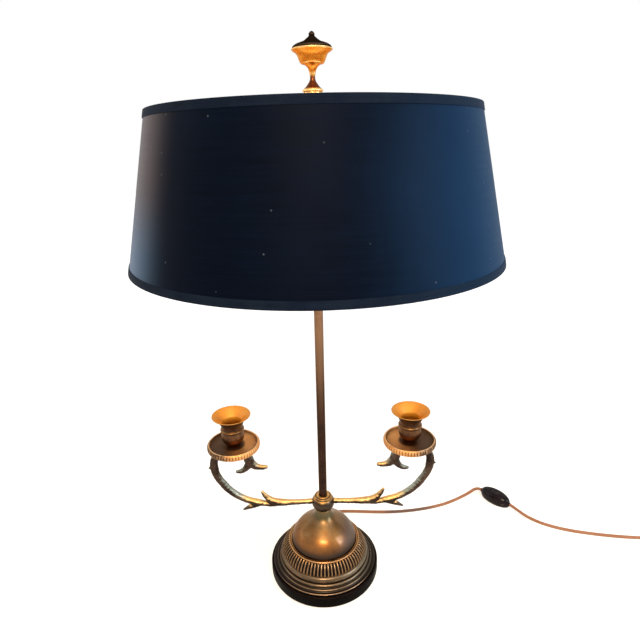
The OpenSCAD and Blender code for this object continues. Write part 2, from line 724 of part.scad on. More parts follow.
module cord_gland() {
    start = plinth_d / 2 - gland_in;
    color([0.12, 0.1, 0.1]) difference() {
        union() {
            translate([0, start, channel_z]) rotate([-90, 0, 0])
                cylinder(h = gland_in + gland_out, r = channel_r - seat_gap, $fn = small_fn);
            translate([0, plinth_d / 2 + 0.1, channel_z]) rotate([-90, 0, 0])
                cylinder(h = 1.6, r = channel_r + 0.5, $fn = small_fn);
        }
        translate([0, start - 1, channel_z]) rotate([-90, 0, 0])
            cylinder(h = gland_in + gland_out + 2, r = cord_r + seat_gap, $fn = small_fn);
    }
}

// Free cord from the gland round the back to the switch, points chosen along its lie
to_switch = [[0, 70.1, 5.1], [0, 74, 5.1], [1, 79, 4.6], [7, 87, 3], [18, 92, floor_z],
    [34, 92.6, floor_z], [54, 91.4, floor_z], [75, 89.8, floor_z], [96, 89.2, floor_z],
    [117, 90.2, floor_z], [138, 93, floor_z], [158, 97.4, floor_z], [176, 103.2, floor_z],
    [192, 110.6, floor_z], [203.5, 117, floor_z], [212.5, 122.2, 2.3], [218, 125.4, 2.9],
    [221.8, 127.6, 3.6], [224.8, 129.3, 4.3], [227.8, 130.4, 4.9], [230.9, 130.4, 5.5],
    [233.8, 129.3, 5.9], [236.2, 127.3, 6]];
from_switch = [[265.7, 92.2, 6], [268.2, 89.2, 6], [273.5, 82.6, 4.6], [282.5, 72, 2.7],
    [295, 61, floor_z], [311, 51.5, floor_z], [330, 44, floor_z], [350, 38.5, floor_z],
    [372, 33.8, floor_z], [394, 30.2, floor_z], [414, 28, floor_z], [430, 27.1, floor_z],
    [441.6, 27, floor_z]];
to_plug = [[488, -18.6, 5], [488.2, -23, 4.6], [488.8, -29, 4.7], [489.6, -34, 5.9],
    [490.2, -37.5, 6.9], [490.6, -39.7, 7]];

module cord_run(points) {
    color([0.62, 0.38, 0.25])
        sweep([for (p = smooth_path(points, 2)) [p[0], p[1], p[2], cord_r]], 8, [0, 0, 1]);
}

module cord_to_switch() { cord_run(to_switch); }
module cord_to_coil() { cord_run(from_switch); }
module cord_to_plug() { cord_run(to_plug); }

coil_at = [458, -3, 0];
coil_mid_d = 48;
coil_wide = 16;
coil_tall = 8.4;
tie_turn = -70;

module cord_coil() {
    color([0.62, 0.38, 0.25]) translate(coil_at) rotate_extrude($fn = round_fn)
        translate([coil_mid_d / 2, coil_tall / 2]) intersection() {
            scale([1, coil_tall / coil_wide]) circle(coil_wide / 2, $fn = 32);
            translate([-coil_wide / 2, -coil_tall / 2 + 0.02]) square([coil_wide, coil_tall]);
        }
}

module coil_tie() {
    strap = 1;
    color([0.12, 0.12, 0.12]) translate(coil_at) rotate([0, 0, tie_turn])
        translate([coil_mid_d / 2, -4, 0]) difference() {
        translate([-coil_wide / 2 - strap - 0.5, 0, 0.02])
            cube([coil_wide + 2 * strap + 0.7, 8, coil_tall + strap]);
        translate([-coil_wide / 2 - 0.6, -1, -1]) cube([coil_wide + 0.8, 10, coil_tall + 1.1]);
    }
}

module at_switch() {
    translate([251, 109.7, 0]) rotate([0, 0, -50]) children();
}

seam_z = 6;
slot_l = 16;
slot_w = 8;
pivot_z = switch_h - 3.4;
collar_x = switch_l / 2 + 0.6;
collar_r = cord_r + 1.1;

// Oval shell with upright flanks and a domed top, with a collar for the cord at each end
module switch_body() {
    a = switch_l / 2;
    h = switch_h - seam_z;
    scale([1, switch_w / switch_l, 1]) rotate_extrude($fn = round_fn)
        polygon([[0, -seam_z], [a * 0.86, -seam_z], [a * 0.95, -seam_z * 0.83],
            [a * 0.99, -seam_z / 2], [a, 0], [a * 0.985, h * 0.3], [a * 0.92, h * 0.6],
            [a * 0.79, h * 0.82], [a * 0.6, h * 0.94], [a * 0.35, h * 0.99], [0, h]]);
    for (side = [-1, 1]) scale([side, 1, 1]) translate([a - 6, 0, 0])
        rotate([0, 90, 0]) cylinder(h = collar_x - a + 6, r = collar_r, $fn = small_fn);
}

module switch_screw_holes() {
    for (side = [-1, 1]) translate([side * switch_l * 0.32, 0, -1]) {
        cylinder(h = seam_z + 4, r = 1.2, $fn = small_fn);
        cylinder(h = 2.8, r = 2.3, $fn = small_fn);
    }
}

module switch_lower() {
    color([0.05, 0.05, 0.05]) at_switch() difference() {
        translate([0, 0, seam_z]) intersection() {
            switch_body();
            translate([-switch_l, -switch_w, -seam_z]) cube([switch_l * 2, switch_w * 2, seam_z]);
        }
        translate([-slot_l / 2 - 1, -slot_w / 2 - 1, 2.5]) cube([slot_l + 2, slot_w + 2, seam_z]);
        switch_screw_holes();
    }
}

module switch_upper() {
    color([0.06, 0.06, 0.06]) at_switch() difference() {
        translate([0, 0, seam_z]) intersection() {
            switch_body();
            translate([-switch_l, -switch_w, 0]) cube([switch_l * 2, switch_w * 2, switch_h]);
        }
        translate([-slot_l / 2, -slot_w / 2, seam_z - 1]) cube([slot_l, slot_w, switch_h]);
        translate([0, slot_w / 2 + 2, pivot_z]) rotate([90, 0, 0])
            cylinder(h = slot_w + 4, r = 1 + fit, $fn = small_fn);
        switch_screw_holes();
    }
}

// See-saw key on its pin
module switch_rocker() {
    half = slot_l / 2 - 0.7;
    color([0.09, 0.09, 0.1]) at_switch() {
        translate([0, slot_w / 2 - 0.4, 0]) rotate([90, 0, 0]) linear_extrude(slot_w - 0.8)
            polygon([[-half, pivot_z - 2], [half, pivot_z - 2], [half, pivot_z + 2.6],
                [half * 0.45, pivot_z + 3], [0, pivot_z + 2.3], [-half * 0.45, pivot_z + 3],
                [-half, pivot_z + 2.6]]);
        translate([0, slot_w / 2 + 1.6, pivot_z]) rotate([90, 0, 0])
            cylinder(h = slot_w + 3.2, r = 1, $fn = small_fn);
    }
}

module switch_screws() {
    color("silver") at_switch() for (side = [-1, 1]) translate([side * switch_l * 0.32, 0, 0]) {
        translate([0, 0, 0.6]) cylinder(h = 1.2, r = 2.1, $fn = small_fn);
        translate([0, 0, 0.6]) cylinder(h = seam_z + 2, r = 1.1, $fn = small_fn);
    }
}

plug_at = [490.7, -40, 0];
plug_turn = -82;
plug_z = 7;

module plug_body() {
    color([0.06, 0.06, 0.06]) translate(plug_at) rotate([0, 0, plug_turn]) {
        translate([0, 0, plug_z]) intersection() {
            translate([0, 0, -7]) linear_extrude(14)
                polygon([[0, -3.5], [plug_l * 0.4, -5.5], [plug_l * 0.55, -12], [plug_l, -12],
                    [plug_l, 12], [plug_l * 0.55, 12], [plug_l * 0.4, 5.5], [0, 3.5]]);
            translate([0, 12, 0]) rotate([90, 0, 0]) linear_extrude(24)
                polygon([[0, -3.5], [plug_l * 0.55, -7], [plug_l, -7], [plug_l, 7],
                    [plug_l * 0.55, 7], [0, 3.5]]);
        }
    }
}

module plug_blades() {
    color("silver") translate(plug_at) rotate([0, 0, plug_turn]) for (side = [-1, 1])
        translate([plug_l, side * 6.35 - 0.75, plug_z - 3.2]) cube([17, 1.5, 6.4]);
}

felt_pad();
plinth();
base_weight();
foot();
gadroon_band();
dome();
bottom_nut();
bottom_washer();
stem_pipe();
hub();
arm_left();
arm_right();
drip_pan_left();
drip_pan_right();
candle_cup_left();
candle_cup_right();
cup_screws();
lock_nut();
harp_saddle();
harp_wire();
harp_plate();
sleeve_left();
sleeve_right();
socket_cap();
socket_shell();
socket_liner();
socket_core();
bulb_glass();
bulb_base();
spider();
bottom_ring();
shade_card();
top_trim();
bottom_trim();
finial_base();
finial_urn();
finial_lid();
inner_cord();
cord_gland();
cord_to_switch();
switch_lower();
switch_upper();
switch_rocker();
switch_screws();
cord_to_coil();
cord_coil();
coil_tie();
cord_to_plug();
plug_body();
plug_blades();
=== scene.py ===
# %% [markdown]
# A bouillotte lamp: a ringed brass foot on an ebonised plinth, a bronze pipe, two cast twig
# arms with drip pans and candle cups, and a dark card shade on a harp. The measured solids
# come first, as a fixed frame, and every visible piece is then made over them in mesh code.

# %% Load the measured solids
import math

import bmesh
import bpy
import numpy as np
from mathutils import Matrix, Vector, noise


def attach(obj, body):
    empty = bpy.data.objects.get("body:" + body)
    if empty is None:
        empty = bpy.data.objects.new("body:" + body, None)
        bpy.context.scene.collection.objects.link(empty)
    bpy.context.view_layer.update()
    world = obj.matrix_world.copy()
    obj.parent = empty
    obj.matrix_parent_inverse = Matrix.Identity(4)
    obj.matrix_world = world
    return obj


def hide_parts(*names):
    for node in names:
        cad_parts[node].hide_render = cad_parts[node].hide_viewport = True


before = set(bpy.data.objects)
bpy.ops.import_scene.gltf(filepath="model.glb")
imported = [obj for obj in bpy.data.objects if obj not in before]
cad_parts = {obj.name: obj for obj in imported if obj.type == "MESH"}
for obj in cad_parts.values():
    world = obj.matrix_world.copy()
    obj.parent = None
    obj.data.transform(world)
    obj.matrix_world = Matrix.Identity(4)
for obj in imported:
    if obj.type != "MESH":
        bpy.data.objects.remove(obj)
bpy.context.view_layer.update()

MM = 0.001
scene = bpy.context.scene

# %% [markdown]
# The lamp is seen from a little above the shade's top edge, from close by, so the shade's
# ellipses are open and the stem leans in. A matrix built from yaw, pitch and roll keeps the
# three angles apart, which makes each of them easy to correct.

# %% Camera
CAMERA_AT = Vector((0, -0.49215, 0.49343))
YAW, PITCH, ROLL = (math.radians(a) for a in (-0.168, 19.052, -1.367))
FOCAL_LENGTH, SENSOR_WIDTH = 28.125, 36


def link(name, data):
    """A new object for a mesh, a light or a camera, put into the scene."""
    thing = bpy.data.objects.new(name, data)
    scene.collection.objects.link(thing)
    return thing


def aim(yaw, pitch, roll):
    """The turn of a camera that looks along +Y when all three are 0; pitch looks down."""
    ahead = Vector((-math.sin(yaw) * math.cos(pitch), math.cos(yaw) * math.cos(pitch),
                    -math.sin(pitch)))
    right = Vector((math.cos(yaw), math.sin(yaw), 0))
    up = right.cross(ahead)
    side = right * math.cos(roll) + up * math.sin(roll)
    top = up * math.cos(roll) - right * math.sin(roll)
    return Matrix((side, top, -ahead)).transposed().to_4x4()


lens = bpy.data.cameras.new("camera")
lens.lens, lens.sensor_width = FOCAL_LENGTH, SENSOR_WIDTH
camera = link("camera", lens)
camera.matrix_world = Matrix.Translation(CAMERA_AT) @ aim(YAW, PITCH, ROLL)
scene.camera = camera
print("camera at", tuple(round(v, 3) for v in CAMERA_AT))

# %% [markdown]
# Nearly everything here is either turned on a lathe or bent from a round bar. So two
# builders do most of the work: a line of points spun round an axis, and a ring of points
# carried along a path. Both count in millimetres, as a workshop does, and store metres.

# %% Mesh builders
SHARP_ANGLE = 38  # degrees: flatter edges are shaded round
WELD = 1e-7  # metres: points nearer than this become one
GENTLE_TURN = 14  # degrees: flatter corners of a profile are left alone


def smooth(mesh):
    """Shades a mesh round, but keeps its sharp edges."""
    mesh.shade_smooth()
    mesh.set_sharp_from_angle(angle=math.radians(SHARP_ANGLE))


def to_object(name, points, faces, at=(0, 0, 0), uvs=None):
    """A mesh object; points in mm about at, UVs one for each corner of each face."""
    mesh = bpy.data.meshes.new(name)
    spots = [tuple(p) for p in np.asarray(points, float) * MM]
    mesh.from_pydata(spots, [], [tuple(int(i) for i in f) for f in faces])
    if uvs is not None:
        layer = mesh.uv_layers.new(name="UVMap")
        layer.data.foreach_set("uv", np.asarray(uvs, np.float32).ravel())
    bm = bmesh.new()
    bm.from_mesh(mesh)
    bmesh.ops.remove_doubles(bm, verts=bm.verts, dist=WELD)
    bmesh.ops.recalc_face_normals(bm, faces=bm.faces)
    bm.to_mesh(mesh)
    bm.free()
    smooth(mesh)
    thing = link(name, mesh)
    thing.location = Vector(at) * MM
    return thing


def flow(points, steps):
    """Smooth curve through the points, the same one that the solids use."""
    p = [np.array(q, float) for q in points]
    out = []
    for i in range(len(p) - 1):
        a, b, c, d = p[max(i - 1, 0)], p[i], p[i + 1], p[min(i + 2, len(p) - 1)]
        for k in range(steps):
            t = k / steps
            out.append(0.5 * (2 * b + (c - a) * t + (2 * a - 5 * b + 4 * c - d) * t * t
                              + (3 * b - a - 3 * c + d) * t ** 3))
    return [tuple(q) for q in out] + [tuple(p[-1])]


def arc(cx, cz, radius, start, end, steps=12):
    """Points on a circle about (cx, cz), between two angles in degrees."""
    return [(cx + radius * math.cos(a), cz + radius * math.sin(a))
            for a in np.radians(np.linspace(start, end, steps))]


def soften(line, size=0.3, loop=False):
    """Rounds each corner of a profile, as a lathe hand breaks every edge."""
    p = [np.array(q, float) for q in line]
    out = []
    for i, q in enumerate(p):
        if not loop and i in (0, len(p) - 1):
            out.append(q)
            continue
        back, on = p[i - 1] - q, p[(i + 1) % len(p)] - q
        lb, lo = np.linalg.norm(back[:2]), np.linalg.norm(on[:2])
        turn = math.degrees(math.acos(np.clip(-back[:2] @ on[:2] / (lb * lo), -1, 1)))
        if turn < GENTLE_TURN:
            out.append(q)
            continue
        cut = min(size, 0.45 * lb, 0.45 * lo)
        start, end = q + back * cut / lb, q + on * cut / lo
        out += [start * (1 - t) ** 2 + q * 2 * t * (1 - t) + end * t * t
                for t in (0, 0.25, 0.5, 0.75, 1)]
    return [tuple(q) for q in out]


def quads(rings, around, along):
    """Faces between rings of points, with (share of the turn, distance) for each corner.

    along holds each ring's distance, and one more where the last ring joins the first."""
    faces, corners = [], []
    for i in range(len(along) - 1):
        k = (i + 1) % rings
        for j in range(around):
            m = (j + 1) % around
            faces.append((i * around + j, i * around + m, k * around + m, k * around + j))
            u0, u1 = j / around, (j + 1) / around
            corners += [(u0, along[i]), (u1, along[i]), (u1, along[i + 1]), (u0, along[i + 1])]
    return faces, corners


def turned(name, line, at=(0, 0, 0), steps=128, loop=False, lobes=None):
    """Spins [radius, height] round an axis.

    lobes = (count, depth, sharpness) cuts ribs where a third value is above 0."""
    p = np.array([tuple(q) + (0.0,) * (3 - len(q)) for q in line])
    angle = 2 * np.pi * np.arange(steps) / steps
    r = np.repeat(p[:, :1], steps, 1)
    if lobes:
        count, depth, sharpness = lobes
        across = (count * angle / (2 * np.pi)) % 1 * 2 - 1
        r = r - p[:, 2:3] * depth * (1 - (0.5 + 0.5 * np.cos(np.pi * across)) ** sharpness)
    z = np.repeat(p[:, 1:2], steps, 1)
    points = np.stack([r * np.cos(angle), r * np.sin(angle), z], 2).reshape(-1, 3)
    run = [0, *np.cumsum(np.hypot(*np.diff(p[:, :2], axis=0).T))]
    faces, uvs = quads(len(p), steps, run + [run[-1]] if loop else run)
    keep, corner = [], []
    for f, face in enumerate(faces):  # points on the axis coincide, and their faces lose a side
        spots = [tuple(np.round(points[v], 5)) for v in face]
        left = [c for c in range(4) if spots[c] != spots[c - 1]]
        if len(left) > 2:
            keep.append([face[c] for c in left])
            corner += [uvs[4 * f + c] for c in left]
    return to_object(name, points, keep, at, corner)


def tube(name, path, radius, sides, closed=False):
    """A round bar along a path in mm; radius is one number or one for each point.

    The UVs run along it in metres, so that a weave on it has its real size."""
    p = np.array([q[:3] for q in path], float)
    n = len(p)
    radii = np.full(n, float(radius)) if np.isscalar(radius) else np.array(radius, float)
    if closed:
        ahead = np.roll(p, -1, 0) - np.roll(p, 1, 0)
    else:
        ahead = np.gradient(p, axis=0)
    ahead /= np.linalg.norm(ahead, axis=1)[:, None]
    side = np.cross(ahead[0], (0, 0, 1) if abs(ahead[0][2]) < 0.9 else (1, 0, 0))
    angle = 2 * np.pi * np.arange(sides) / sides
    points, run = [], [0.0]
    for i in range(n):
        side = side - ahead[i] * (side @ ahead[i])
        side /= np.linalg.norm(side)
        up = np.cross(side, ahead[i])
        points += [p[i] + radii[i] * (math.cos(a) * side + math.sin(a) * up) for a in angle]
        if i:
            run.append(run[-1] + float(np.linalg.norm(p[i] - p[i - 1])))
    faces, uvs = quads(n, sides, run + [run[-1] + 1] if closed else run)
    uvs = [(distance * MM, turn) for turn, distance in uvs]
    if not closed:
        faces += [range(sides), range((n - 1) * sides, n * sides)]
        uvs += [(0, 0)] * (2 * sides)
    return to_object(name, points, faces, uvs=uvs)


def joined(name, things):
    """One object out of several, all at the same origin."""
    bm = bmesh.new()
    for t in things:
        bm.from_mesh(t.data)
        bpy.data.objects.remove(t)
    mesh = bpy.data.meshes.new(name)
    bm.to_mesh(mesh)
    bm.free()
    smooth(mesh)
    return link(name, mesh)


def size_mm(thing):
    """Width, depth and height of a piece, for the notes that each cell prints."""
    return tuple(round(v / MM, 1) for v in thing.dimensions)


print("builders ready")

# %% [markdown]
# Hands and cloths rub the high places of old brass bright and leave dirt in the hollows, and
# the hollows here also take painted shade. To let the finishes follow the form, each piece
# stores how strongly it bulges or dips at every point. The number comes from the mesh
# itself: how far the neighbours fall away from the surface's own direction.

# %% High and low places
SPREAD_ROUNDS = 3  # how often each point takes over half of its neighbours' bend
BEND_GAIN = 1.6  # a bend of 1 / 1.6 per mm counts as fully high or low
SHORTEST = 0.01  # mm: shorter edges count as this long, so that none divides by nothing


def feel(thing):
    """Stores the attributes "high" and "low", from 0 to 1, out of the mesh's curvature."""
    mesh = thing.data
    count = len(mesh.vertices)
    co, no = np.zeros(count * 3), np.zeros(count * 3)
    mesh.vertices.foreach_get("co", co)
    mesh.vertices.foreach_get("normal", no)
    co, no = co.reshape(-1, 3) / MM, no.reshape(-1, 3)
    ends = np.zeros(len(mesh.edges) * 2, np.int64)
    mesh.edges.foreach_get("vertices", ends)
    a, b = ends.reshape(-1, 2).T
    step = co[a] - co[b]
    far = np.maximum((step ** 2).sum(1), SHORTEST ** 2)
    total, weight = np.zeros(count), np.zeros(count)
    for here, way in ((a, step), (b, -step)):
        np.add.at(total, here, 2 * (no[here] * way).sum(1) / far)
        np.add.at(weight, here, 1)
    bend = total / np.maximum(weight, 1)
    for _ in range(SPREAD_ROUNDS):
        spread = np.zeros(count)
        np.add.at(spread, a, bend[b])
        np.add.at(spread, b, bend[a])
        bend = 0.5 * bend + 0.5 * spread / np.maximum(weight, 1)
    for label, value in (("high", bend), ("low", -bend)):
        layer = mesh.attributes.new(label, "FLOAT", "POINT")
        layer.data.foreach_set("value", np.clip(value * BEND_GAIN, 0, 1).astype(np.float32))
    return thing


def place(thing, body, slot, finish, *nodes):
    """Gives a piece its finish and body, and hides the solids that it stands for; slot is not used.
    """
    for material in (finish if isinstance(finish, (list, tuple)) else [finish]):
        thing.data.materials.append(material)
    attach(thing, body)
    if nodes:
        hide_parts(*nodes)
    return thing


print("curvature marks ready")

# %% [markdown]
# Each finish is a Principled shader fed by a few effects, and an effect that several
# finishes share is a node group with its own inputs. The groups give only masks and
# heights. A small helper adds a node, sets its values and links it in one line, so that
# the recipe of an effect can be read from top to bottom.

# %% Node helpers
class Net:
    """Writes a node tree as a few short calls; each returns the socket that it makes."""

    def __init__(self, tree):
        self.tree = tree

    def feed(self, node, sockets):
        """Links each value that is a socket, and sets each one that is a number."""
        for key, value in sockets.items():
            if isinstance(value, bpy.types.NodeSocket):
                self.tree.links.new(value, node.inputs[key])
            else:
                node.inputs[key].default_value = value
        return node

    def add(self, kind, sockets=None, **settings):
        """A node of a kind, with its inputs and its settings."""
        node = self.tree.nodes.new(kind)
        for key, value in settings.items():
            setattr(node, key, value)
        return self.feed(node, sockets or {})

    def effect(self, name, **values):
        """A shared effect; an underscore stands for a space in the name of an input."""
        node = self.add("ShaderNodeGroup", node_tree=bpy.data.node_groups[name])
        return self.feed(node, {k.replace("_", " "): v for k, v in values.items()}).outputs

    def calc(self, kind, a, b=0.0):
        return self.add("ShaderNodeMath", {0: a, 1: b}, operation=kind).outputs[0]

    def times(self, a, b):
        return self.calc("MULTIPLY", a, b)

    def plus(self, a, b):
        return self.calc("ADD", a, b)

    def ramp(self, value, low, high, to_low=0.0, to_high=1.0):
        """An S curve from to_low, up to low, to to_high, from high on."""
        return self.add("ShaderNodeMapRange", {0: value, 1: low, 2: high, 3: to_low, 4: to_high},
                        interpolation_type="SMOOTHSTEP").outputs[0]

    def tones(self, mask, a, b):
        """Colour a where the mask is 0, b where it is 1; both are sockets or #rrggbb."""
        a, b = (tone(c) if isinstance(c, str) else c for c in (a, b))
        return self.add("ShaderNodeMix", {0: mask, 6: a, 7: b}, data_type="RGBA").outputs[2]

    def where(self, kind="Object"):
        """Object: metres on the piece itself. UV: as its builder laid them."""
        return self.add("ShaderNodeTexCoord").outputs[kind]

    def part(self, vector, axis):
        """One of the three numbers of a vector."""
        return self.add("ShaderNodeSeparateXYZ", {0: vector}).outputs[axis]

    def noise(self, vector, scale, detail=4.0, rough=0.55):
        return self.add("ShaderNodeTexNoise", {"Vector": vector, "Scale": scale, "Detail": detail,
                                               "Roughness": rough}).outputs["Fac"]

    def stretch(self, vector, scale):
        """Coordinates with each axis scaled by itself."""
        return self.add("ShaderNodeMapping", {"Vector": vector, "Scale": scale}).outputs[0]

    def bump(self, height, strength, depth):
        """A surface direction bent by a height; depth is in metres."""
        return self.add("ShaderNodeBump", {"Strength": strength, "Distance": depth,
                                           "Height": height}).outputs[0]


def tone(code):
    """#rrggbb as the linear colour that a shader takes."""
    parts = [int(code[i:i + 2], 16) / 255 for i in (1, 3, 5)]
    return tuple(c / 12.92 if c <= 0.04045 else ((c + 0.055) / 1.055) ** 2.4
                 for c in parts) + (1.0,)


def new_effect(name, inputs, outputs, recipe):
    """A node group: inputs {label: number}, outputs [label], recipe(net, given) -> sockets."""
    tree = bpy.data.node_groups.new(name, "ShaderNodeTree")
    for label, value in inputs.items():
        socket = tree.interface.new_socket(name=label, in_out="INPUT",
                                           socket_type="NodeSocketFloat")
        socket.default_value = value
    for label in outputs:
        tree.interface.new_socket(name=label, in_out="OUTPUT", socket_type="NodeSocketFloat")
    given, out = tree.nodes.new("NodeGroupInput"), tree.nodes.new("NodeGroupOutput")
    for label, socket in zip(outputs, recipe(Net(tree), given.outputs)):
        tree.links.new(socket, out.inputs[label])


def finish_start(name):
    """A new material, the helper for its nodes, and its shader."""
    material = bpy.data.materials.new(name)
    material.use_nodes = True
    return material, Net(material.node_tree), material.node_tree.nodes["Principled BSDF"]


def wire_up(net, shader, **sockets):
    """Sockets that change over the piece are linked to the shader."""
    names = {"colour": "Base Color", "rough": "Roughness", "normal": "Normal",
             "glow": "Emission Color", "coat": "Coat Weight"}
    for key, socket in sockets.items():
        net.tree.links.new(socket, shader.inputs[names[key]])


def settle(shader, **values):
    """Numbers that are the same all over go straight on the shader's own sockets."""
    for key, value in values.items():
        shader.inputs[key.replace("_", " ")].default_value = value


print("node helpers ready")

# %% [markdown]
# What ages brass: cloudy brown patina, bright rubbed edges, dirt in hollows, and wiping on
# the upper side. The upper side is also lightened as painted light from above, and the
# hollows are also darkened as painted shade. What a workshop leaves on it: fine rings from
# the lathe, lengthwise streaks from drawing, and the pitted skin of a casting.

# %% Effects for metal
def clouds(net, given):
    """Broad clouds with finer ones in them, cut at a level."""
    where = net.where()
    wide = net.noise(where, given["Scale"], 5.0, 0.6)
    fine = net.noise(where, net.times(given["Scale"], 7.0), 4.0, 0.65)
    both = net.plus(net.times(wide, 0.72), net.times(fine, 0.28))
    low = net.calc("SUBTRACT", given["Level"], given["Softness"])
    high = net.plus(given["Level"], given["Softness"])
    return [net.ramp(both, low, high)]


def uneven_mark(net, label, patchy, *spread):
    """A mark that feel() stored, made stronger and weaker in patches."""
    mark = net.add("ShaderNodeAttribute", attribute_name=label).outputs["Fac"]
    return net.times(mark, net.ramp(patchy, *spread))


def rubbed(net, given):
    """High places, worn more here and less there."""
    patchy = net.noise(net.where(), 260.0, 3.0)
    mark = uneven_mark(net, "high", patchy, 0.25, 0.7, 0.45, 1.2)
    return [net.times(net.ramp(mark, given["Start"], given["Full"]), given["Amount"])]


def dirt_and_shade(net, given):
    """Low places, darkened more here and less there, as dirt and as painted shade."""
    patchy = net.noise(net.where(), 180.0, 4.0)
    mark = uneven_mark(net, "low", patchy, 0.2, 0.7, 0.6, 1.3)
    return [net.times(net.ramp(mark, 0.02, given["Full"]), given["Amount"])]


def upper_side(net, given):
    """Where the surface looks up, with an uneven border."""
    upward = net.part(net.add("ShaderNodeNewGeometry").outputs["Normal"], "Z")
    uneven = net.calc("SUBTRACT", net.noise(net.where(), 90.0, 5.0), 0.5)
    patchy = net.times(uneven, given["Patchiness"])
    return [net.ramp(net.plus(upward, patchy), given["From"], given["To"])]


def lathe_rings(net, given):
    """Noise over radius and height only, so it is the same all round."""
    xyz = net.add("ShaderNodeSeparateXYZ", {0: net.where()}).outputs
    squares = net.plus(net.times(xyz["X"], xyz["X"]), net.times(xyz["Y"], xyz["Y"]))
    ring = net.add("ShaderNodeCombineXYZ", {0: net.calc("SQRT", squares), 2: xyz["Z"]})
    return [net.noise(ring.outputs[0], given["Scale"], 2.0, 0.7)]


def drawn_streaks(net, given):
    """Noise drawn out along the upright."""
    return [net.noise(net.stretch(net.where(), (1, 1, 0.025)), given["Scale"], 4.0, 0.6)]


def cast_skin(net, given):
    """Lumps, with the rims of shallow pits on them."""
    where = net.where()
    cells = net.add("ShaderNodeTexVoronoi", {"Vector": where,
                                             "Scale": net.times(given["Scale"], 1.3)})
    pits = net.ramp(cells.outputs["Distance"], 0.0, 0.35)
    return [net.plus(net.times(pits, 0.5), net.noise(where, given["Scale"], 6.0, 0.7))]


new_effect("Patina clouds", {"Scale": 40.0, "Level": 0.5, "Softness": 0.12}, ["Mask"], clouds)
new_effect("Rubbed edges", {"Start": 0.1, "Full": 0.6, "Amount": 1.0}, ["Mask"], rubbed)
new_effect("Dirt and shade in hollows", {"Full": 0.4, "Amount": 1.0}, ["Mask"], dirt_and_shade)
new_effect("Upper side", {"From": -0.2, "To": 0.6, "Patchiness": 0.6}, ["Mask"], upper_side)
new_effect("Lathe rings", {"Scale": 900.0}, ["Height"], lathe_rings)
new_effect("Drawn streaks", {"Scale": 700.0}, ["Height"], drawn_streaks)
new_effect("Cast skin", {"Scale": 900.0}, ["Height"], cast_skin)
print("metal effects:", [g.name for g in bpy.data.node_groups])

# %% [markdown]
# All the metals share one recipe, and only the tones and the wear change from piece to
# piece. A zone tints the metal along one direction. Most zones here are painted light:
# highlights, reflections and shade laid into the colour of a side, a band or a rim. That
# could be an image mask too, but a zone is three numbers and a tone, which can be read and
# corrected in one line.

# %% Brass finishes
DIRT_DULLS, FLECK_EDGE = 0.25, 0.25


def in_zones(net, far, colour, zones):
    """Lays the tone of each zone (axis, start, end, tone) over the colour."""
    for axis, start, end, tint in zones:
        colour = net.tones(net.ramp(far[axis], start, end), colour, tint)
    return colour


def brass(name, dark, middle, bright, edge, rough=(0.26, 0.46), cloud=(40.0, 0.5, 0.14),
          sky=(-0.2, 0.7), sky_share=0.8, skin="Lathe rings", skin_scale=900.0,
          bump=(0.25, 0.0002), worn=(0.12, 0.6, 0.9), grime_and_shade=(0.35, 0.9), grime_and_shade_tone="#1c120a",
          zones=(), bright_zones=(), edge_zones=(), fleck=None, matt=None, rim="#e0d2c4",
          coat=0.1, coat_rough=0.3):
    """Aged brass: clouds between dark and middle, bright on top, rubbed edges, dark hollows.

    The bright top is partly wiped brass and partly painted light from above, and the dark
    hollows are partly dirt and partly painted shade. zones, bright_zones and edge_zones tint
    the metal, its bright side and its rubbed edges, and most zones given here are painted
    light. Their axis is X, Y or Z, counted both ways from the middle, R, the distance from the
    turning's axis, or out, which is X with its sign. rough goes from shiny to dull. cloud
    and sky set the clouds and the bright side, worn and grime_and_shade where wear and the
    dark hollows begin and how strong they are. fleck = (height, share, tone) speckles the
    skin's high spots, and matt = (axis, start, end, added roughness) dulls one zone."""
    material, net, shader = finish_start(name)
    patina = net.effect("Patina clouds", Scale=cloud[0], Level=cloud[1], Softness=cloud[2])["Mask"]
    upward = net.effect("Upper side", From=sky[0], To=sky[1], Patchiness=0.5)["Mask"]
    rubs = net.effect("Rubbed edges", Start=worn[0], Full=worn[1], Amount=worn[2])["Mask"]
    hollow = net.effect("Dirt and shade in hollows", Full=grime_and_shade[0], Amount=grime_and_shade[1])["Mask"]
    height = net.effect(skin, Scale=skin_scale)["Height"]
    where = net.where()
    both_ways = net.add("ShaderNodeVectorMath", {0: where}, operation="ABSOLUTE").outputs[0]
    flat = net.add("ShaderNodeVectorMath", {0: where, 1: (1, 1, 0)},
                   operation="MULTIPLY").outputs[0]
    far = dict(net.add("ShaderNodeSeparateXYZ", {0: both_ways}).outputs.items())
    far["R"] = net.add("ShaderNodeVectorMath", {0: flat}, operation="LENGTH").outputs["Value"]
    far["out"] = net.part(where, "X")
    colour = in_zones(net, far, net.tones(patina, dark, middle), zones)
    top = in_zones(net, far, bright, bright_zones)
    # The bright upper side: wiped brass, and painted light from above.
    colour = net.tones(net.times(upward, sky_share), colour, top)
    colour = net.tones(rubs, colour, in_zones(net, far, edge, edge_zones))
    # The dark hollows: dirt, and painted shade.
    colour = net.tones(hollow, colour, grime_and_shade_tone)
    dull = net.plus(net.ramp(patina, 0, 1, rough[1], rough[0]), net.times(hollow, DIRT_DULLS))
    if matt:
        dull = net.plus(dull, net.ramp(far[matt[0]], matt[1], matt[2], 0.0, matt[3]))
    if fleck:
        mask = net.ramp(height, fleck[0], fleck[0] + FLECK_EDGE, 0.0, fleck[1])
        colour = net.tones(mask, colour, fleck[2])
    wire_up(net, shader, colour=colour, rough=dull, normal=net.bump(height, *bump))
    settle(shader, Metallic=1.0, Specular_Tint=tone(rim), Coat_Weight=coat,
           Coat_Roughness=coat_rough)
    return material


GOLD = ("#d88428", "#eea040", "#f8bc5c", "#ffdc94")
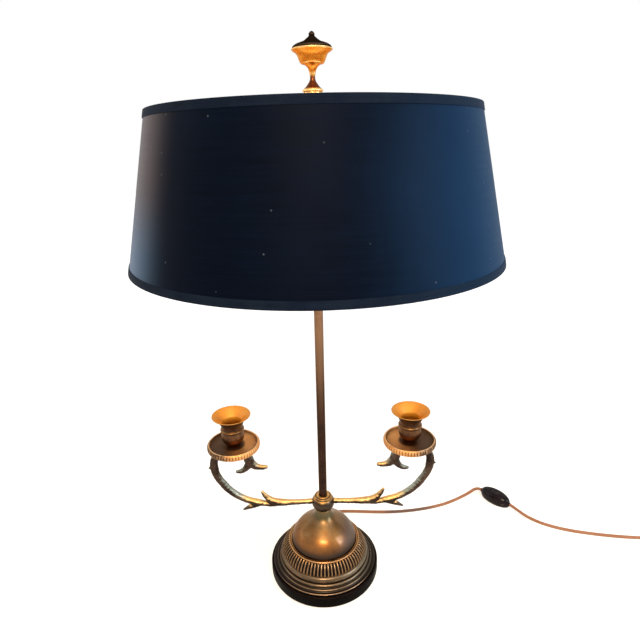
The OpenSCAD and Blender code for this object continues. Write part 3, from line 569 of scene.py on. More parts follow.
# Painted light on the pans: the outer side is darker and the side towards the stem lighter, and a
# painted shadow rings the foot of the cup.
PAN_PAINTED_SHADE = [("out", -0.008, 0.012, "#564030"), ("R", 0.0145, 0.0105, "#4c3220")]
# Painted shade on the finial bowl's lip: its top is toned darker than the bowl.
BOWL_LIP = [("Z", 0.0188, 0.0196, "#b06c2c")]

# Painted light on the dome: the right side is toned greyer as a painted cool reflection, the lower
# part darker as a painted reflection of the dark plinth and shade, the neck pale greenish as a
# painted reflection.
dome_brass = brass(
    "Spun brass of the dome", "#5a381a", "#8c5a2c", "#86683e", "#8e683f",
    sky=(0.55, 1.0), sky_share=0.7, rough=(0.33, 0.44), cloud=(34.0, 0.5, 0.2),
    coat=0.25, coat_rough=0.14,
    zones=[("out", 0.012, 0.034, "#62524a"), ("Z", 0.058, 0.046, "#261b14"),
           ("Z", 0.073, 0.079, "#54492f")],
    bright_zones=[("R", 0.024, 0.012, "#7a7054"), ("out", 0.014, 0.032, "#6c5e50")])
# Painted light on the foot: the right side is toned greyer as a painted cool highlight, the flange
# and the left and right sides darker as painted shade, the lip bright copper as a painted
# highlight.
foot_brass = brass(
    "Turned brass of the foot", "#33271a", "#624c36", "#7e6a50", "#94745a",
    sky=(0.1, 1.0), sky_share=0.5, worn=(0.3, 1.1, 0.45), coat=0.25,
    zones=[("out", 0.01, 0.045, "#6a6050"), ("R", 0.0576, 0.0590, "#2a211a")],
    bright_zones=[("R", 0.0576, 0.0590, "#352a20"), ("R", 0.0608, 0.0616, "#c09c7c"),
                  ("X", 0.036, 0.056, "#2e241a")],
    edge_zones=[("X", 0.030, 0.054, "#3a2c1e")])
# Painted light on the band: the left side is darker as painted shade and the top bead brighter as a
# painted highlight; the near-black tone in the gaps between ribs is dirt and painted shade.
rib_brass = brass(
    "Gadrooned brass", "#33251a", "#5c4430", "#6e5842", "#9a7652",
    sky=(-0.3, 0.9), sky_share=0.3, worn=(0.16, 0.8, 0.8), grime_and_shade=(0.25, 1.0),
    grime_and_shade_tone="#0e0804",
    zones=[("out", -0.015, -0.045, "#2e1f12"), ("Z", 0.0414, 0.0425, "#d8995c")])
# Painted light in the cup: the bore and the upper mouth are toned bright gold as a painted glow of
# the bulb. The low zone keeps the cup's foot dark bronze under the bore's tone.
cup_brass = brass(
    "Gilt brass of the cups", "#341e12", "#6c4422", "#7c542c", "#c49a60",
    sky=(0.0, 0.75), sky_share=0.9, rough=(0.32, 0.44), worn=(0.4, 1.2, 0.5),
    grime_and_shade=(0.5, 0.4), coat=0.25, matt=("Z", 0.0225, 0.0275, 0.22),
    zones=[("R", 0.0112, 0.0108, "#dca43a"), ("Z", 0.0094, 0.0084, "#5a3416")],
    bright_zones=[("Z", 0.022, 0.027, "#dc983e")])
pan_brass = brass(
    "Brass of the drip pans", "#c0864e", "#d4985c", "#b07c48", "#e0b282",
    sky=(0.2, 1.0), sky_share=0.2, rough=(0.46, 0.6), worn=(0.25, 0.8, 0.85),
    grime_and_shade=(0.3, 0.7), grime_and_shade_tone="#4a2e18", zones=PAN_PAINTED_SHADE, bright_zones=PAN_PAINTED_SHADE)
# Painted light on the arms: the roots are toned gold on top, the outer and upper curls carry
# painted cool grey-green highlights, and the top of the lower thorn is dark as painted shade under
# the arm.
twig_brass = brass(
    "Cast brass of the arms", "#20150f", "#46342a", "#ecc07a", "#8c8a7a",
    sky=(0.15, 0.75), sky_share=0.92, skin="Cast skin", skin_scale=520.0,
    bump=(0.6, 0.0006), rough=(0.28, 0.5), cloud=(45.0, 0.5, 0.12), worn=(1.0, 3.0, 0.4),
    coat=0.15, fleck=(1.2, 0.6, "#a09a84"),
    bright_zones=[("X", 0.086, 0.100, "#a0a496"), ("Z", 0.122, 0.138, "#8a8e80"),
                  ("X", 0.080, 0.070, "#dcae72"), ("Z", 0.0940, 0.0915, "#4a4034")])
# Painted light on the hub: gold on top as painted light from above, near black below as painted
# shade.
hub_brass = brass(
    "Brass of the hub", "#1c140c", "#403020", "#d8a058", "#a88050",
    sky=(0.5, 0.95), sky_share=0.95, coat=0.3, worn=(0.35, 1.0, 0.6))
finial_brass = brass(
    "Bright brass of the finial", *GOLD, sky=(-0.4, 0.8), sky_share=0.5, rough=(0.26, 0.36),
    cloud=(22.0, 0.5, 0.3), grime_and_shade=(0.5, 0.7), grime_and_shade_tone="#7a3e14", worn=(0.12, 0.6, 0.7),
    zones=BOWL_LIP, bright_zones=BOWL_LIP)
# Painted reflection on the collar: its waist is toned dark brown as the reflection of the dark
# shade below it, and the neck above goes back to gold.
collar_brass = brass(
    "Rubbed brass of the collar", *GOLD, sky=(-0.4, 0.8), sky_share=0.3, rough=(0.3, 0.42),
    grime_and_shade=(0.5, 0.7), grime_and_shade_tone="#7a3e14",
    zones=[("Z", 0.0160, 0.0172, "#5c2e16"), ("Z", 0.0258, 0.0282, "#d88c34")],
    bright_zones=[("Z", 0.0160, 0.0172, "#6a3a1e"), ("Z", 0.0258, 0.0282, "#f8bc5c")],
    edge_zones=[("Z", 0.0160, 0.0172, "#8a5028"), ("Z", 0.0258, 0.0282, "#ffdc94")])
# The lid's dark tone is partly its own darker metal and partly painted shade on its upper face,
# which the bulb below doesn't light.
lid_bronze = brass(
    "Dark lid with painted shade", "#120c09", "#281c14", "#2e221a", "#40332a",
    sky=(0.2, 1.0), sky_share=0.4, rough=(0.5, 0.68), cloud=(160.0, 0.5, 0.1),
    skin="Cast skin", skin_scale=1500.0, bump=(0.5, 0.0003), rim="#80705e", coat=0.0)
# Painted light on the stem: its top is toned light tan as the glow of the bulb above it, and the
# light flecks along the drawn streaks are painted reflections.
pipe_bronze = brass(
    "Bronze of the stem", "#180d09", "#321d15", "#4a3022", "#5e4130",
    sky=(0.5, 1.0), sky_share=0.3, skin="Drawn streaks", skin_scale=900.0,
    rough=(0.28, 0.42), cloud=(22.0, 0.5, 0.2), zones=[("Z", 0.18, 0.36, "#86644a")],
    fleck=(0.66, 0.4, "#a07c60"))
wire_brass = brass(
    "Drawn brass wire", "#8c6a38", "#b48b4c", "#c79d5a", "#e0bd80",
    sky=(0.2, 1.0), sky_share=0.4, skin="Drawn streaks", skin_scale=1200.0, rough=(0.25, 0.4))
socket_brass = brass(
    "Lacquered socket brass", "#a37a38", "#c79a4e", "#d3a75c", "#efd08f",
    sky=(0.2, 1.0), sky_share=0.3, rough=(0.18, 0.3))
steel = brass(
    "Zinc plated steel", "#6e7074", "#9b9da0", "#a9abad", "#c9cbcc",
    sky=(0.2, 1.0), sky_share=0.3, rough=(0.3, 0.45), grime_and_shade_tone="#3a3a3c", rim="#e0e0e0")
print("brass finishes ready")

# %% [markdown]
# The rest is black wood, painted card, braided cord, moulded plastic and frosted glass. The
# card and the cord have a direction, along the hoop and along the cord, so their threads are
# drawn from the UVs that the builders laid in metres.

# %% Effects for card, cord and plastic
def hoop_threads(net, given):
    """Threads that run round the hoop: fine ones, and a few wide slubs."""
    where = net.where("UV")
    along = net.noise(net.stretch(where, (26, 2100, 1)), 1.0, 3.0, 0.6)
    wide = net.noise(net.stretch(where, (9, 260, 1)), 1.0, 3.0, 0.6)
    return [net.plus(net.times(along, given["Fine"]), net.times(wide, given["Wide"]))]


def pale_specks(net, given):
    """A soft dot in a few of the cells that the piece is divided into."""
    where = net.where()
    cell = net.add("ShaderNodeTexVoronoi", {"Vector": where, "Scale": given["Scale"]})
    chosen = net.add("ShaderNodeSeparateColor", {0: cell.outputs["Color"]}).outputs[0]
    few = net.calc("LESS_THAN", chosen, given["Share"])
    return [net.times(net.ramp(cell.outputs["Distance"], 0.16, 0.05), few)]


def braid(net, given):
    """Two sets of strands that wind round the cord in opposite ways."""
    where = net.where("UV")
    xyz = net.add("ShaderNodeSeparateXYZ", {0: where}).outputs
    run = net.times(xyz["X"], given["Picks per metre"])
    turn = net.times(xyz["Y"], given["Strands"])
    one = net.calc("SINE", net.times(net.plus(run, turn), 2 * math.pi))
    other = net.calc("SINE", net.times(net.calc("SUBTRACT", run, turn), 2 * math.pi))
    over = net.calc("MAXIMUM", one, other)
    return [net.ramp(over, -0.4, 1.0), net.ramp(net.calc("SUBTRACT", one, other), -1.2, 1.2)]


def handling(net, given):
    """Smears from fingers, and the fine ripple of a moulded or polished skin."""
    where = net.where()
    smear = net.noise(where, given["Scale"], 5.0, 0.65)
    fine = net.noise(where, net.times(given["Scale"], 30.0), 2.0, 0.5)
    return [net.ramp(smear, 0.35, 0.7), fine]


new_effect("Hoop threads", {"Fine": 0.6, "Wide": 0.4}, ["Height"], hoop_threads)
new_effect("Pale specks", {"Scale": 300.0, "Share": 0.1}, ["Mask"], pale_specks)
new_effect("Braid", {"Picks per metre": 380.0, "Strands": 8.0}, ["Height", "Mask"], braid)
new_effect("Handling marks", {"Scale": 60.0}, ["Smear", "Orange peel"], handling)
print("effects:", len(bpy.data.node_groups))

# %% [markdown]
# Each of these materials is a function of its own. The card's right side is toned lighter and
# bluer as painted light from the right, and a painted sheen lightens it where it is seen at a
# flat angle. The wood has grain and dust, the felt a nap and the cord its weave, with painted
# shade between its strands. Plastics and plain grains come in several tones, so those two
# recipes take the tones as arguments.

# %% Card, cord, wood and plastic finishes
def card_outside():
    """Fine hoop threads under navy paint, painted light on the right, a painted sheen and pale
    specks.
    """
    material, net, shader = finish_start("Navy painted card")
    threads = net.effect("Hoop threads", Fine=0.6, Wide=0.4)["Height"]
    where = net.where()
    fade = net.noise(where, 7.0, 4.0, 0.6)
    colour = net.tones(net.ramp(threads, 0.3, 0.7), "#02050f", "#040a19")
    colour = net.tones(net.ramp(fade, 0.4, 0.75, 0.0, 0.5), colour, "#081224")
    # Painted light from the right: the card's right side is toned lighter and bluer.
    side = net.part(where, "X")
    paler = net.ramp(net.plus(side, net.times(fade, 0.03)), 0.03, 0.20)
    colour = net.tones(net.times(paler, 0.85), colour, "#133358")
    # Painted sheen where the card is seen at a flat angle: warm grey above, blue below, and dark
    # blue on the right side.
    facing = net.add("ShaderNodeLayerWeight", {"Blend": 0.5}).outputs["Facing"]
    height = net.part(where, "Z")
    left = net.ramp(side, 0.1, 0.0)
    painted_sheen = net.tones(net.ramp(height, 0.405, 0.475), "#486a92", "#584c50")
    painted_sheen = net.tones(left, "#1e3850", painted_sheen)
    colour = net.tones(net.ramp(facing, 0.42, 0.85, 0.0, 0.55), colour, painted_sheen)
    specks = net.effect("Pale specks", Scale=170.0, Share=0.09)["Mask"]
    colour = net.tones(net.times(specks, 0.3), colour, "#6a7484")
    relief = net.bump(threads, 0.35, 0.0002)
    shine = net.times(net.ramp(facing, 0.48, 0.85, 0.0, 0.3), left)
    wire_up(net, shader, colour=colour, rough=net.ramp(threads, 0.2, 0.8, 0.42, 0.56),
            normal=relief, coat=shine)
    settle(shader, Specular_IOR_Level=0.02, Coat_Roughness=0.3)
    return material


def card_inside():
    """Gold paper, a little toasted by the bulb."""
    material, net, shader = finish_start("Pale gold lining")
    threads = net.effect("Hoop threads", Fine=0.5, Wide=0.5)["Height"]
    toasted = net.ramp(net.noise(net.where(), 11.0, 4.0, 0.6), 0.35, 0.75)
    colour = net.tones(toasted, "#d9c08c", "#c8a96c")
    relief = net.bump(threads, 0.3, 0.0002)
    wire_up(net, shader, colour=colour, rough=net.ramp(threads, 0.2, 0.8, 0.5, 0.7), normal=relief)
    return material


def trim_cloth():
    """Woven tape, dyed like the card, with the same painted light on its right side."""
    material, net, shader = finish_start("Navy trim tape")
    threads = net.effect("Hoop threads", Fine=0.8, Wide=0.3)["Height"]
    peel = net.effect("Handling marks", Scale=35.0)
    colour = net.tones(net.ramp(threads, 0.35, 0.75), "#070d19", "#0f182a")
    colour = net.tones(net.times(peel["Smear"], 0.35), colour, "#1a2330")
    # Painted light from the right, as on the card: the right side is toned bluer.
    side = net.part(net.where(), "X")
    colour = net.tones(net.ramp(side, 0.03, 0.16, 0.0, 0.7), colour, "#12263c")
    height = net.plus(threads, net.times(peel["Orange peel"], 0.6))
    relief = net.bump(height, 0.6, 0.0003)
    wire_up(net, shader, colour=colour, rough=net.ramp(threads, 0.2, 0.8, 0.55, 0.72),
            normal=relief)
    settle(shader, Sheen_Weight=0.04, Sheen_Roughness=0.4, Sheen_Tint=tone("#a9b8d0"),
           Specular_IOR_Level=0.02)
    return material


def ebonised_wood():
    """Black stained wood: fine grain, brown where it is rubbed, and a little dust."""
    material, net, shader = finish_start("Ebonised wood")
    grain = net.noise(net.stretch(net.where(), (1, 9, 9)), 55.0, 6.0, 0.65)
    hand = net.effect("Handling marks", Scale=30.0)
    edge = net.effect("Rubbed edges", Start=0.05, Full=0.5, Amount=0.5)["Mask"]
    colour = net.tones(net.ramp(grain, 0.35, 0.7), "#030202", "#090606")
    colour = net.tones(edge, colour, "#1c1310")
    dust = net.effect("Pale specks", Scale=520.0, Share=0.08)["Mask"]
    colour = net.tones(net.times(dust, 0.2), colour, "#3c3632")
    height = net.plus(grain, net.times(hand["Orange peel"], 0.3))
    relief = net.bump(height, 0.3, 0.0003)
    wire_up(net, shader, colour=colour, rough=net.ramp(hand["Smear"], 0, 1, 0.4, 0.55),
            normal=relief)
    settle(shader, Specular_IOR_Level=0.02)
    return material


def felt_cloth():
    """A dull green nap."""
    material, net, shader = finish_start("Wool felt")
    nap = net.noise(net.where(), 1400.0, 5.0, 0.7)
    colour = net.tones(net.ramp(nap, 0.3, 0.7), "#17201a", "#2c3a2f")
    relief = net.bump(nap, 0.7, 0.0004)
    wire_up(net, shader, colour=colour, rough=net.ramp(nap, 0.2, 0.8, 0.85, 1.0), normal=relief)
    settle(shader, Sheen_Weight=0.5)
    return material


def cord_cloth():
    """Brown braid, faded in patches and grimy where the hand takes it, beside the base."""
    material, net, shader = finish_start("Braided brown cord")
    weave = net.effect("Braid", Picks_per_metre=420.0, Strands=6.0)
    where = net.where()
    paler = net.ramp(net.noise(where, 30.0, 3.0), 0.35, 0.7)
    colour = net.tones(weave["Mask"], "#8f5636", "#a96c47")
    colour = net.tones(net.times(paler, 0.45), colour, "#b07c58")
    along = net.part(where, "X")
    handled = net.times(net.ramp(along, 0.075, 0.10), net.ramp(along, 0.17, 0.14, 0.0, 0.8))
    colour = net.tones(handled, colour, "#4e3834")
    # Darker between the strands: painted shade in the gaps of the weave.
    colour = net.tones(net.ramp(weave["Height"], 0.35, 0.0, 0.0, 0.75), colour, "#4a2817")
    relief = net.bump(weave["Height"], 0.7, 0.0003)
    wire_up(net, shader, colour=colour, rough=net.ramp(weave["Height"], 0, 1, 0.75, 0.5),
            normal=relief)
    settle(shader, Sheen_Weight=0.25, Sheen_Tint=tone("#d8a888"))
    return material


def moulded(name, deep, pale, shine=(0.16, 0.3)):
    """Moulded plastic; shine holds the roughness of clean and of smeared places."""
    material, net, shader = finish_start(name)
    hand = net.effect("Handling marks", Scale=70.0)
    edge = net.effect("Rubbed edges", Start=0.1, Full=0.8, Amount=0.35)["Mask"]
    colour = net.tones(net.times(hand["Smear"], 0.6), deep, pale)
    colour = net.tones(edge, colour, "#2a1c1a")
    relief = net.bump(hand["Orange peel"], 0.12, 0.0002)
    wire_up(net, shader, colour=colour, rough=net.ramp(hand["Smear"], 0, 1, *shine), normal=relief)
    settle(shader, Specular_IOR_Level=0.14)
    return material


def plain_grain(name, deep, pale, scale, shine, bump=0.3, **values):
    """A grain between two tones, for what is cast, fired or pressed from fibre."""
    material, net, shader = finish_start(name)
    grain = net.noise(net.where(), scale, 5.0, 0.6)
    relief = net.bump(grain, bump, 0.0003)
    mask = net.ramp(grain, 0.3, 0.7)
    wire_up(net, shader, colour=net.tones(mask, deep, pale), rough=net.ramp(mask, 0, 1, *shine),
            normal=relief)
    settle(shader, **values)
    return material


navy_card, pale_lining, navy_trim = card_outside(), card_inside(), trim_cloth()
black_wood, wool_felt, brown_cord = ebonised_wood(), felt_cloth(), cord_cloth()
black_gloss = moulded("Glossy black plastic", "#0a0405", "#1c0d0e", (0.12, 0.22))
black_key = moulded("Black plastic of the key", "#0e0707", "#221413", (0.18, 0.3))
soft_black = moulded("Soft black vinyl", "#0e0d0d", "#1c1a1a", (0.4, 0.55))
cast_iron = plain_grain("Rough cast iron", "#1c1c1d", "#39383a", 500.0, (0.6, 0.8), 0.6,
                        Metallic=0.8)
porcelain = plain_grain("Unglazed porcelain", "#cfcabb", "#e2ded2", 700.0, (0.4, 0.6))
fibre = plain_grain("Fibre liner card", "#5a4330", "#735840", 420.0, (0.7, 0.9), 0.5)
print("finishes:", len(bpy.data.materials))

# %% [markdown]
# The bulb is frosted glass with a lit filament behind it. A dense, slightly glowing white
# does that job: real thin glass would show the room through it, while frost scatters the
# light into an even warm disc.

# %% Frosted glass
def frosted_glass():
    """Milky white that glows, warmest low on the bulb and palest at the filament."""
    material, net, shader = finish_start("Frosted bulb glass")
    where = net.where()
    frost = net.noise(where, 1600.0, 3.0, 0.6)
    height = net.part(where, "Z")
    warm = net.tones(net.ramp(height, 0.395, 0.44), "#b98a58", "#ffd9a0")
    relief = net.bump(frost, 0.15, 0.0001)
    wire_up(net, shader, colour=net.tones(net.ramp(frost, 0.3, 0.7), "#efe6d6", "#f7f2e8"),
            rough=net.ramp(frost, 0.2, 0.8, 0.3, 0.45), normal=relief, glow=warm)
    settle(shader, Emission_Strength=4.0)
    return material


bulb_frost = frosted_glass()

# %% [markdown]
# Light: an even pale room, four large soft panels, and the lamp's own bulb, which is what
# makes the cups, the finial and the top of the stem glow orange. The floor is plain and
# keeps a faint shadow. Rays that look at the room or the floor see them white, and rays
# that light the lamp find them dimmer.

# %% Room, floor and lights
ROOM_LIGHT = 0.5  # how strongly the white room lights the lamp
FLOOR_LIFT = (0.38, 0.68)  # glow of the floor under the lamp and far away from it
FLOOR_FADE = (0.3, 1.8)  # metres from the lamp between which that glow rises
FLOOR_HALF = 6
BULB_LIGHT_Z, BULB_LIGHT_R, BULB_POWER = 0.442, 0.031, 2.2
WARM_WHITE = (1.0, 0.97, 0.93)


def looking_rays(net):
    """1 for rays that show a thing, straight or by a mirror or glass, 0 for those that light it."""
    path = net.add("ShaderNodeLightPath").outputs
    direct = net.calc("MAXIMUM", path["Is Camera Ray"], path["Is Glossy Ray"])
    return net.calc("MAXIMUM", direct, path["Is Transmission Ray"])


def room():
    """A white surrounding that looks white and lights with only a part of that."""
    world = bpy.data.worlds.new("Pale room")
    scene.world = world
    world.use_nodes = True
    net, sky = Net(world.node_tree), world.node_tree.nodes["Background"]
    strength = net.ramp(looking_rays(net), 0, 1, ROOM_LIGHT, 1.0)
    net.tree.links.new(strength, sky.inputs["Strength"])
    sky.inputs["Color"].default_value = (1, 1, 1, 1)


def floor_piece():
    """A plain sheet that takes the lamp's shadow and glows into white farther out."""
    material, net, shader = finish_start("Pale floor")
    settle(shader, Base_Color=(0.8, 0.8, 0.8, 1), Roughness=0.9, Specular_IOR_Level=0.1)
    away = net.add("ShaderNodeVectorMath", {0: net.where()}, operation="LENGTH").outputs["Value"]
    lift = net.ramp(away, *FLOOR_FADE, *FLOOR_LIFT)
    shine = net.add("ShaderNodeEmission", {"Color": (1, 1, 1, 1), "Strength": lift})
    both = net.add("ShaderNodeAddShader", {0: shader.outputs[0], 1: shine.outputs[0]})
    pick = net.add("ShaderNodeMixShader", {0: looking_rays(net), 1: shader.outputs[0],
                                           2: both.outputs[0]})
    end = material.node_tree.nodes["Material Output"]
    net.tree.links.new(pick.outputs[0], end.inputs["Surface"])
    mesh = bpy.data.meshes.new("floor")
    corners = [(x * FLOOR_HALF, y * FLOOR_HALF, 0) for x, y in ((-1, -1), (1, -1), (1, 1), (-1, 1))]
    mesh.from_pydata(corners, [], [(0, 1, 2, 3)])
    mesh.materials.append(material)
    floor = link("floor", mesh)


def panel(name, at, towards, size, power, colour):
    """A soft rectangle of light at one point, turned towards another."""
    light = bpy.data.lights.new(name, "AREA")
    light.shape, light.energy, light.color = "RECTANGLE", power, colour
    light.size, light.size_y = size
    thing = link(name, light)
    thing.location = at
    thing.rotation_euler = (Vector(towards) - Vector(at)).to_track_quat("-Z", "Y").to_euler()


def bulb_light():
    """The filament, as a small ball of warm light inside the glass."""
    light = bpy.data.lights.new("bulb light", "POINT")
    light.energy, light.color, light.shadow_soft_size = BULB_POWER, (1.0, 0.66, 0.34), BULB_LIGHT_R
    link("bulb light", light).location = (0, 0, BULB_LIGHT_Z)


room()
floor_piece()
panel("front panel", (-0.05, -1.12, 1.2), (0, 0, 0.08), (0.55, 0.4), 21, (1.0, 0.76, 0.42))
panel("left panel", (-1.5, 0.3, 0.9), (0, 0, 0.35), (0.9, 1.4), 4, WARM_WHITE)
panel("right panel", (1.5, -0.75, 0.95), (0, 0, 0.35), (0.5, 0.9), 18, (0.80, 0.90, 1.0))
panel("top panel", (0.1, -0.6, 2.0), (0, 0, 0.2), (1.4, 1.0), 11, WARM_WHITE)
bulb_light()
scene.view_settings.view_transform = "Standard"
print("lights ready")

# %% [markdown]
# The cord's way comes before anything else that lies on the floor. It is 4 mm of limp braided
# flex: out of the gland at the back of the plinth, down to the table, round the base to the
# in-line switch, and on to a coil that holds the spare length, with its plug beside it. The
# route's points are the same as the solids' own.

# %% Cord from the gland to the switch
CORD_R = 2.0
FLOOR_Z = 2.02  # the middle of the cord where it lies on the table
to_switch = [(0, 70.1, 5.1), (0, 74, 5.1), (1, 79, 4.6), (7, 87, 3), (18, 92, FLOOR_Z),
             (34, 92.6, FLOOR_Z), (54, 91.4, FLOOR_Z), (75, 89.8, FLOOR_Z), (96, 89.2, FLOOR_Z),
             (117, 90.2, FLOOR_Z), (138, 93, FLOOR_Z), (158, 97.4, FLOOR_Z), (176, 103.2, FLOOR_Z),
             (192, 110.6, FLOOR_Z), (203.5, 117, FLOOR_Z), (212.5, 122.2, 2.3), (218, 125.4, 2.9),
             (221.8, 127.6, 3.6), (224.8, 129.3, 4.3), (227.8, 130.4, 4.9), (230.9, 130.4, 5.5),
             (233.8, 129.3, 5.9), (236.2, 127.3, 6)]


def run_length(path):
    """The length of a path of points in mm, in metres."""
    p = np.array(path)
    return float(np.linalg.norm(np.diff(p, axis=0), axis=1).sum()) * MM


def laid_cord(name, path, nodes):
    """A cord on its path, which hides the solids of its run."""
    cord = tube(name, path, CORD_R, 14)
    place(cord, "lamp", "cord_cloth", brown_cord, *nodes)
    print(name, "is", round(run_length(path), 3), "m long")


first_path = flow(to_switch, 5)
print("first run", round(run_length(first_path), 3), "m")

# %% [markdown]
# The spare cord is wound as a neat flat coil: four turns side by side on the table, from the
# outside in, then four on top of them from the inside out. Each turn shifts one place over
# within a sixth of a turn, and the layers shift at different places so they never cross.

# %% Cord from the switch to its coil and plug
from_switch = [(265.7, 92.2, 6), (268.2, 89.2, 6), (273.5, 82.6, 4.6), (282.5, 72, 2.7),
               (295, 61, FLOOR_Z), (311, 51.5, FLOOR_Z), (330, 44, FLOOR_Z), (350, 38.5, FLOOR_Z),
               (372, 33.8, FLOOR_Z), (394, 30.2, FLOOR_Z), (414, 28, FLOOR_Z), (430, 27.1, FLOOR_Z),
               (441.6, 27, FLOOR_Z)]
to_plug = [(488, -10, 5.9), (488, -18.6, 5), (488.2, -23, 4.6), (488.8, -29, 4.7),
           (489.6, -34, 5.9), (490.2, -37.5, 6.9), (490.6, -39.7, 7)]
COIL_AT = (458, -3)
RADII = (30, 26, 22, 18, 18, 22, 26, 30)
LAYERS = (0, 0, 0, 0, 1, 1, 1, 1)
LAYER_STEP = 4.02
TURNS = 7.25
SHIFT_AT = (300, 300, 300, 240, 180, 180, 180)  # degrees within each turn
SHIFT_OVER = 60
COIL_STEP = 12  # degrees from one point of the coil to the next


def coil_points():
    """The coil's path, wound from the outside in and then, a layer higher, out again."""
    points = []
    for degree in range(COIL_STEP, int(TURNS * 360) + 1, COIL_STEP):
        turn, rest = divmod(degree, 360)
        radius, layer = RADII[turn], LAYERS[turn]
        if turn < len(SHIFT_AT) and rest > SHIFT_AT[turn]:
            share = min(1, (rest - SHIFT_AT[turn]) / SHIFT_OVER)
            share = share * share * (3 - 2 * share)
            radius += (RADII[turn + 1] - radius) * share
            layer += (LAYERS[turn + 1] - layer) * share
        a = math.radians(degree)
        points.append((COIL_AT[0] + radius * math.sin(a), COIL_AT[1] + radius * math.cos(a),
                       FLOOR_Z + LAYER_STEP * layer))
    return points


coil = coil_points()
lead_in = flow(from_switch + [(450, 27, FLOOR_Z), (458, 27, FLOOR_Z)], 4)
lead_out = flow([coil[-1]] + to_plug, 3)
second_path = lead_in + coil + lead_out[1:]
print("coil", round(run_length(coil), 3), "m in", TURNS, "turns")

# %% [markdown]
# The plinth is a turned wooden disc, ebonised, with its upper edge just broken. It hides the
# washer and nut that pull the whole lamp together, and felt saves the table. One profile
# spun round the axis makes it, with the recess for the nut left in.

# %% Plinth and what is under it
plinth_line = [
    (4.9, 12.2), (15, 12.2), (15, 1.5), (63, 1.5),  # recess for the nut, and underside
    *arc(63, 3.5, 2, -75, 0, 6), (65, 6), (65, 11),  # lower edge and side
    *arc(63.2, 14.2, 1.8, 0, 90, 7), (57, 16.0), (50, 16.0), (30, 16), (4.9, 16)]
plinth = feel(turned("plinth_wood", soften(plinth_line, 0.6, True), steps=160, loop=True))
place(plinth, "lamp", "ebonised_wood", black_wood, "plinth")


def break_edges(thing, width, segments=2, angle=30):
    """A small bevel, in mm, along the edges steeper than angle, so that they catch light."""
    edge = thing.modifiers.new("broken edge", "BEVEL")
    edge.width, edge.segments = width * MM, segments
    edge.limit_method, edge.angle_limit = "ANGLE", math.radians(angle)


def dress(node, material, bevel=0.0):
    """A measured solid that keeps its own shape: a material, and broken edges if asked."""
    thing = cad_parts[node]
    thing.data.materials.clear()
    thing.data.materials.append(material)
    if bevel:
        break_edges(thing, bevel, angle=35)
    return thing


dress("felt_pad", wool_felt)
dress("base_weight", cast_iron)
dress("bottom_nut", steel, 0.3)
dress("bottom_washer", steel, 0.2)
dress("inner_cord", brown_cord)
print("plinth", len(plinth.data.vertices), "points")

# %% [markdown]
# The foot is one brass turning. From the table up it has a thin flange with a rounded lip, a
# ring, a bead, a hollow that swells into a tall torus, and the flat shoulder that carries
# the gadrooned band. Arcs and smooth curves are set end to end, so that each moulding keeps
# its own edge.

# %% Ringed foot
foot_line = [
    (44.6, 16.02), (60.4, 16.02), (61.3, 16.15),  # underside of the flange
    *arc(61.2, 17.0, 0.85, -65, 95, 9),  # its lip
    *flow([(60.7, 17.75), (59.8, 17.4), (58.9, 17.45), (58.3, 17.9)], 4),
    *arc(56.8, 18.7, 1.1, 0, 130, 9), (55.8, 19.1), (55.0, 19.2), (54.6, 19.5),  # ring
    *arc(52.7, 21.1, 2.0, -35, 88),  # bead
    *flow([(52.3, 23.15), (52.35, 23.7), (52.75, 25.0), (52.7, 26.6), (52.1, 28.2),
           (51.1, 29.5), (50.1, 30.0)], 5),  # hollow and torus
    (49.9, 30.1), (42, 30.1), (4.9, 30.1), (4.9, 28.4), (44.6, 28.4)]  # shoulder
foot = feel(turned("ringed_foot", soften(foot_line, 0.25, True), steps=192, loop=True))
place(foot, "lamp", "aged_brass", foot_brass, "foot")
print("foot", size_mm(foot))

# %% [markdown]
# The gadrooned band is the piece that takes the most skill: seventy-four rounded ribs that
# lean in towards the dome under a plain bead. Each rib is half an ellipse across. The cut
# is deepest in the middle of the rib's length and dies out at both ends, as a chaser
# leaves it.

# %% Gadrooned band
RIBS, RIB_DEPTH, RIB_SHARPNESS = 74, 1.5, 1.3
POINTS_PER_RIB = 12
rib_spine = flow([(49.6, 30.2), (50.2, 31.1), (50.0, 32.8), (48.9, 35.7), (46.8, 38.9),
                  (44.4, 41.4), (42.6, 42.5)], 5)
fade = [min(1.0, 0.15 + 3.4 * t) * min(1.0, 0.1 + 5.5 * (1 - t))
        for t in np.linspace(0, 1, len(rib_spine))]
band_line = [
    (39.5, 30.2), (48.8, 30.2), *[(r, z, w) for (r, z), w in zip(rib_spine, fade)],
    *arc(41.65, 43.45, 1.05, -40, 140, 9), (40.2, 44.3), (39.5, 44.1)]
band = feel(turned("gadroon_ribs", band_line, steps=RIBS * POINTS_PER_RIB, loop=True,
                   lobes=(RIBS, RIB_DEPTH, RIB_SHARPNESS)))
place(band, "lamp", "cast_brass", rib_brass, "gadroon_band")
print("band", len(band.data.vertices), "points")

# %% [markdown]
# The dome is spun from sheet and sweeps up into a slim neck. Its outline is the one place
# where a lumpy curve would show at once, so few points are given and the rest is flow. The
# hub is a turned ball on the neck, and the bronze pipe runs through both.

# %% Dome, hub and stem
dome_line = [
    *flow([(39.3, 30.2), (39.3, 37), (39.25, 41.95), (38.85, 46.2), (37.5, 50.2), (35.7, 54.4),
           (33.3, 58.4), (30.4, 62.0), (27, 65.1), (21.2, 69.4), (15.4, 73.5), (12.0, 76.9),
           (10.1, 80.3), (9.1, 83.6)], 4),
    (8.85, 85.7), (8.5, 86.15), (4.9, 86.2), (4.9, 80.0), (7.2, 78.0),  # neck, then inside
    *flow([(11.6, 73.0), (19.4, 68.2), (25.9, 63.9), (32.1, 57.5), (36.2, 49.8), (37.9, 41.9),
           (37.9, 30.2)], 4)]
dome = feel(turned("spun_dome", dome_line, steps=192, loop=True))
place(dome, "lamp", "aged_brass", dome_brass, "dome")

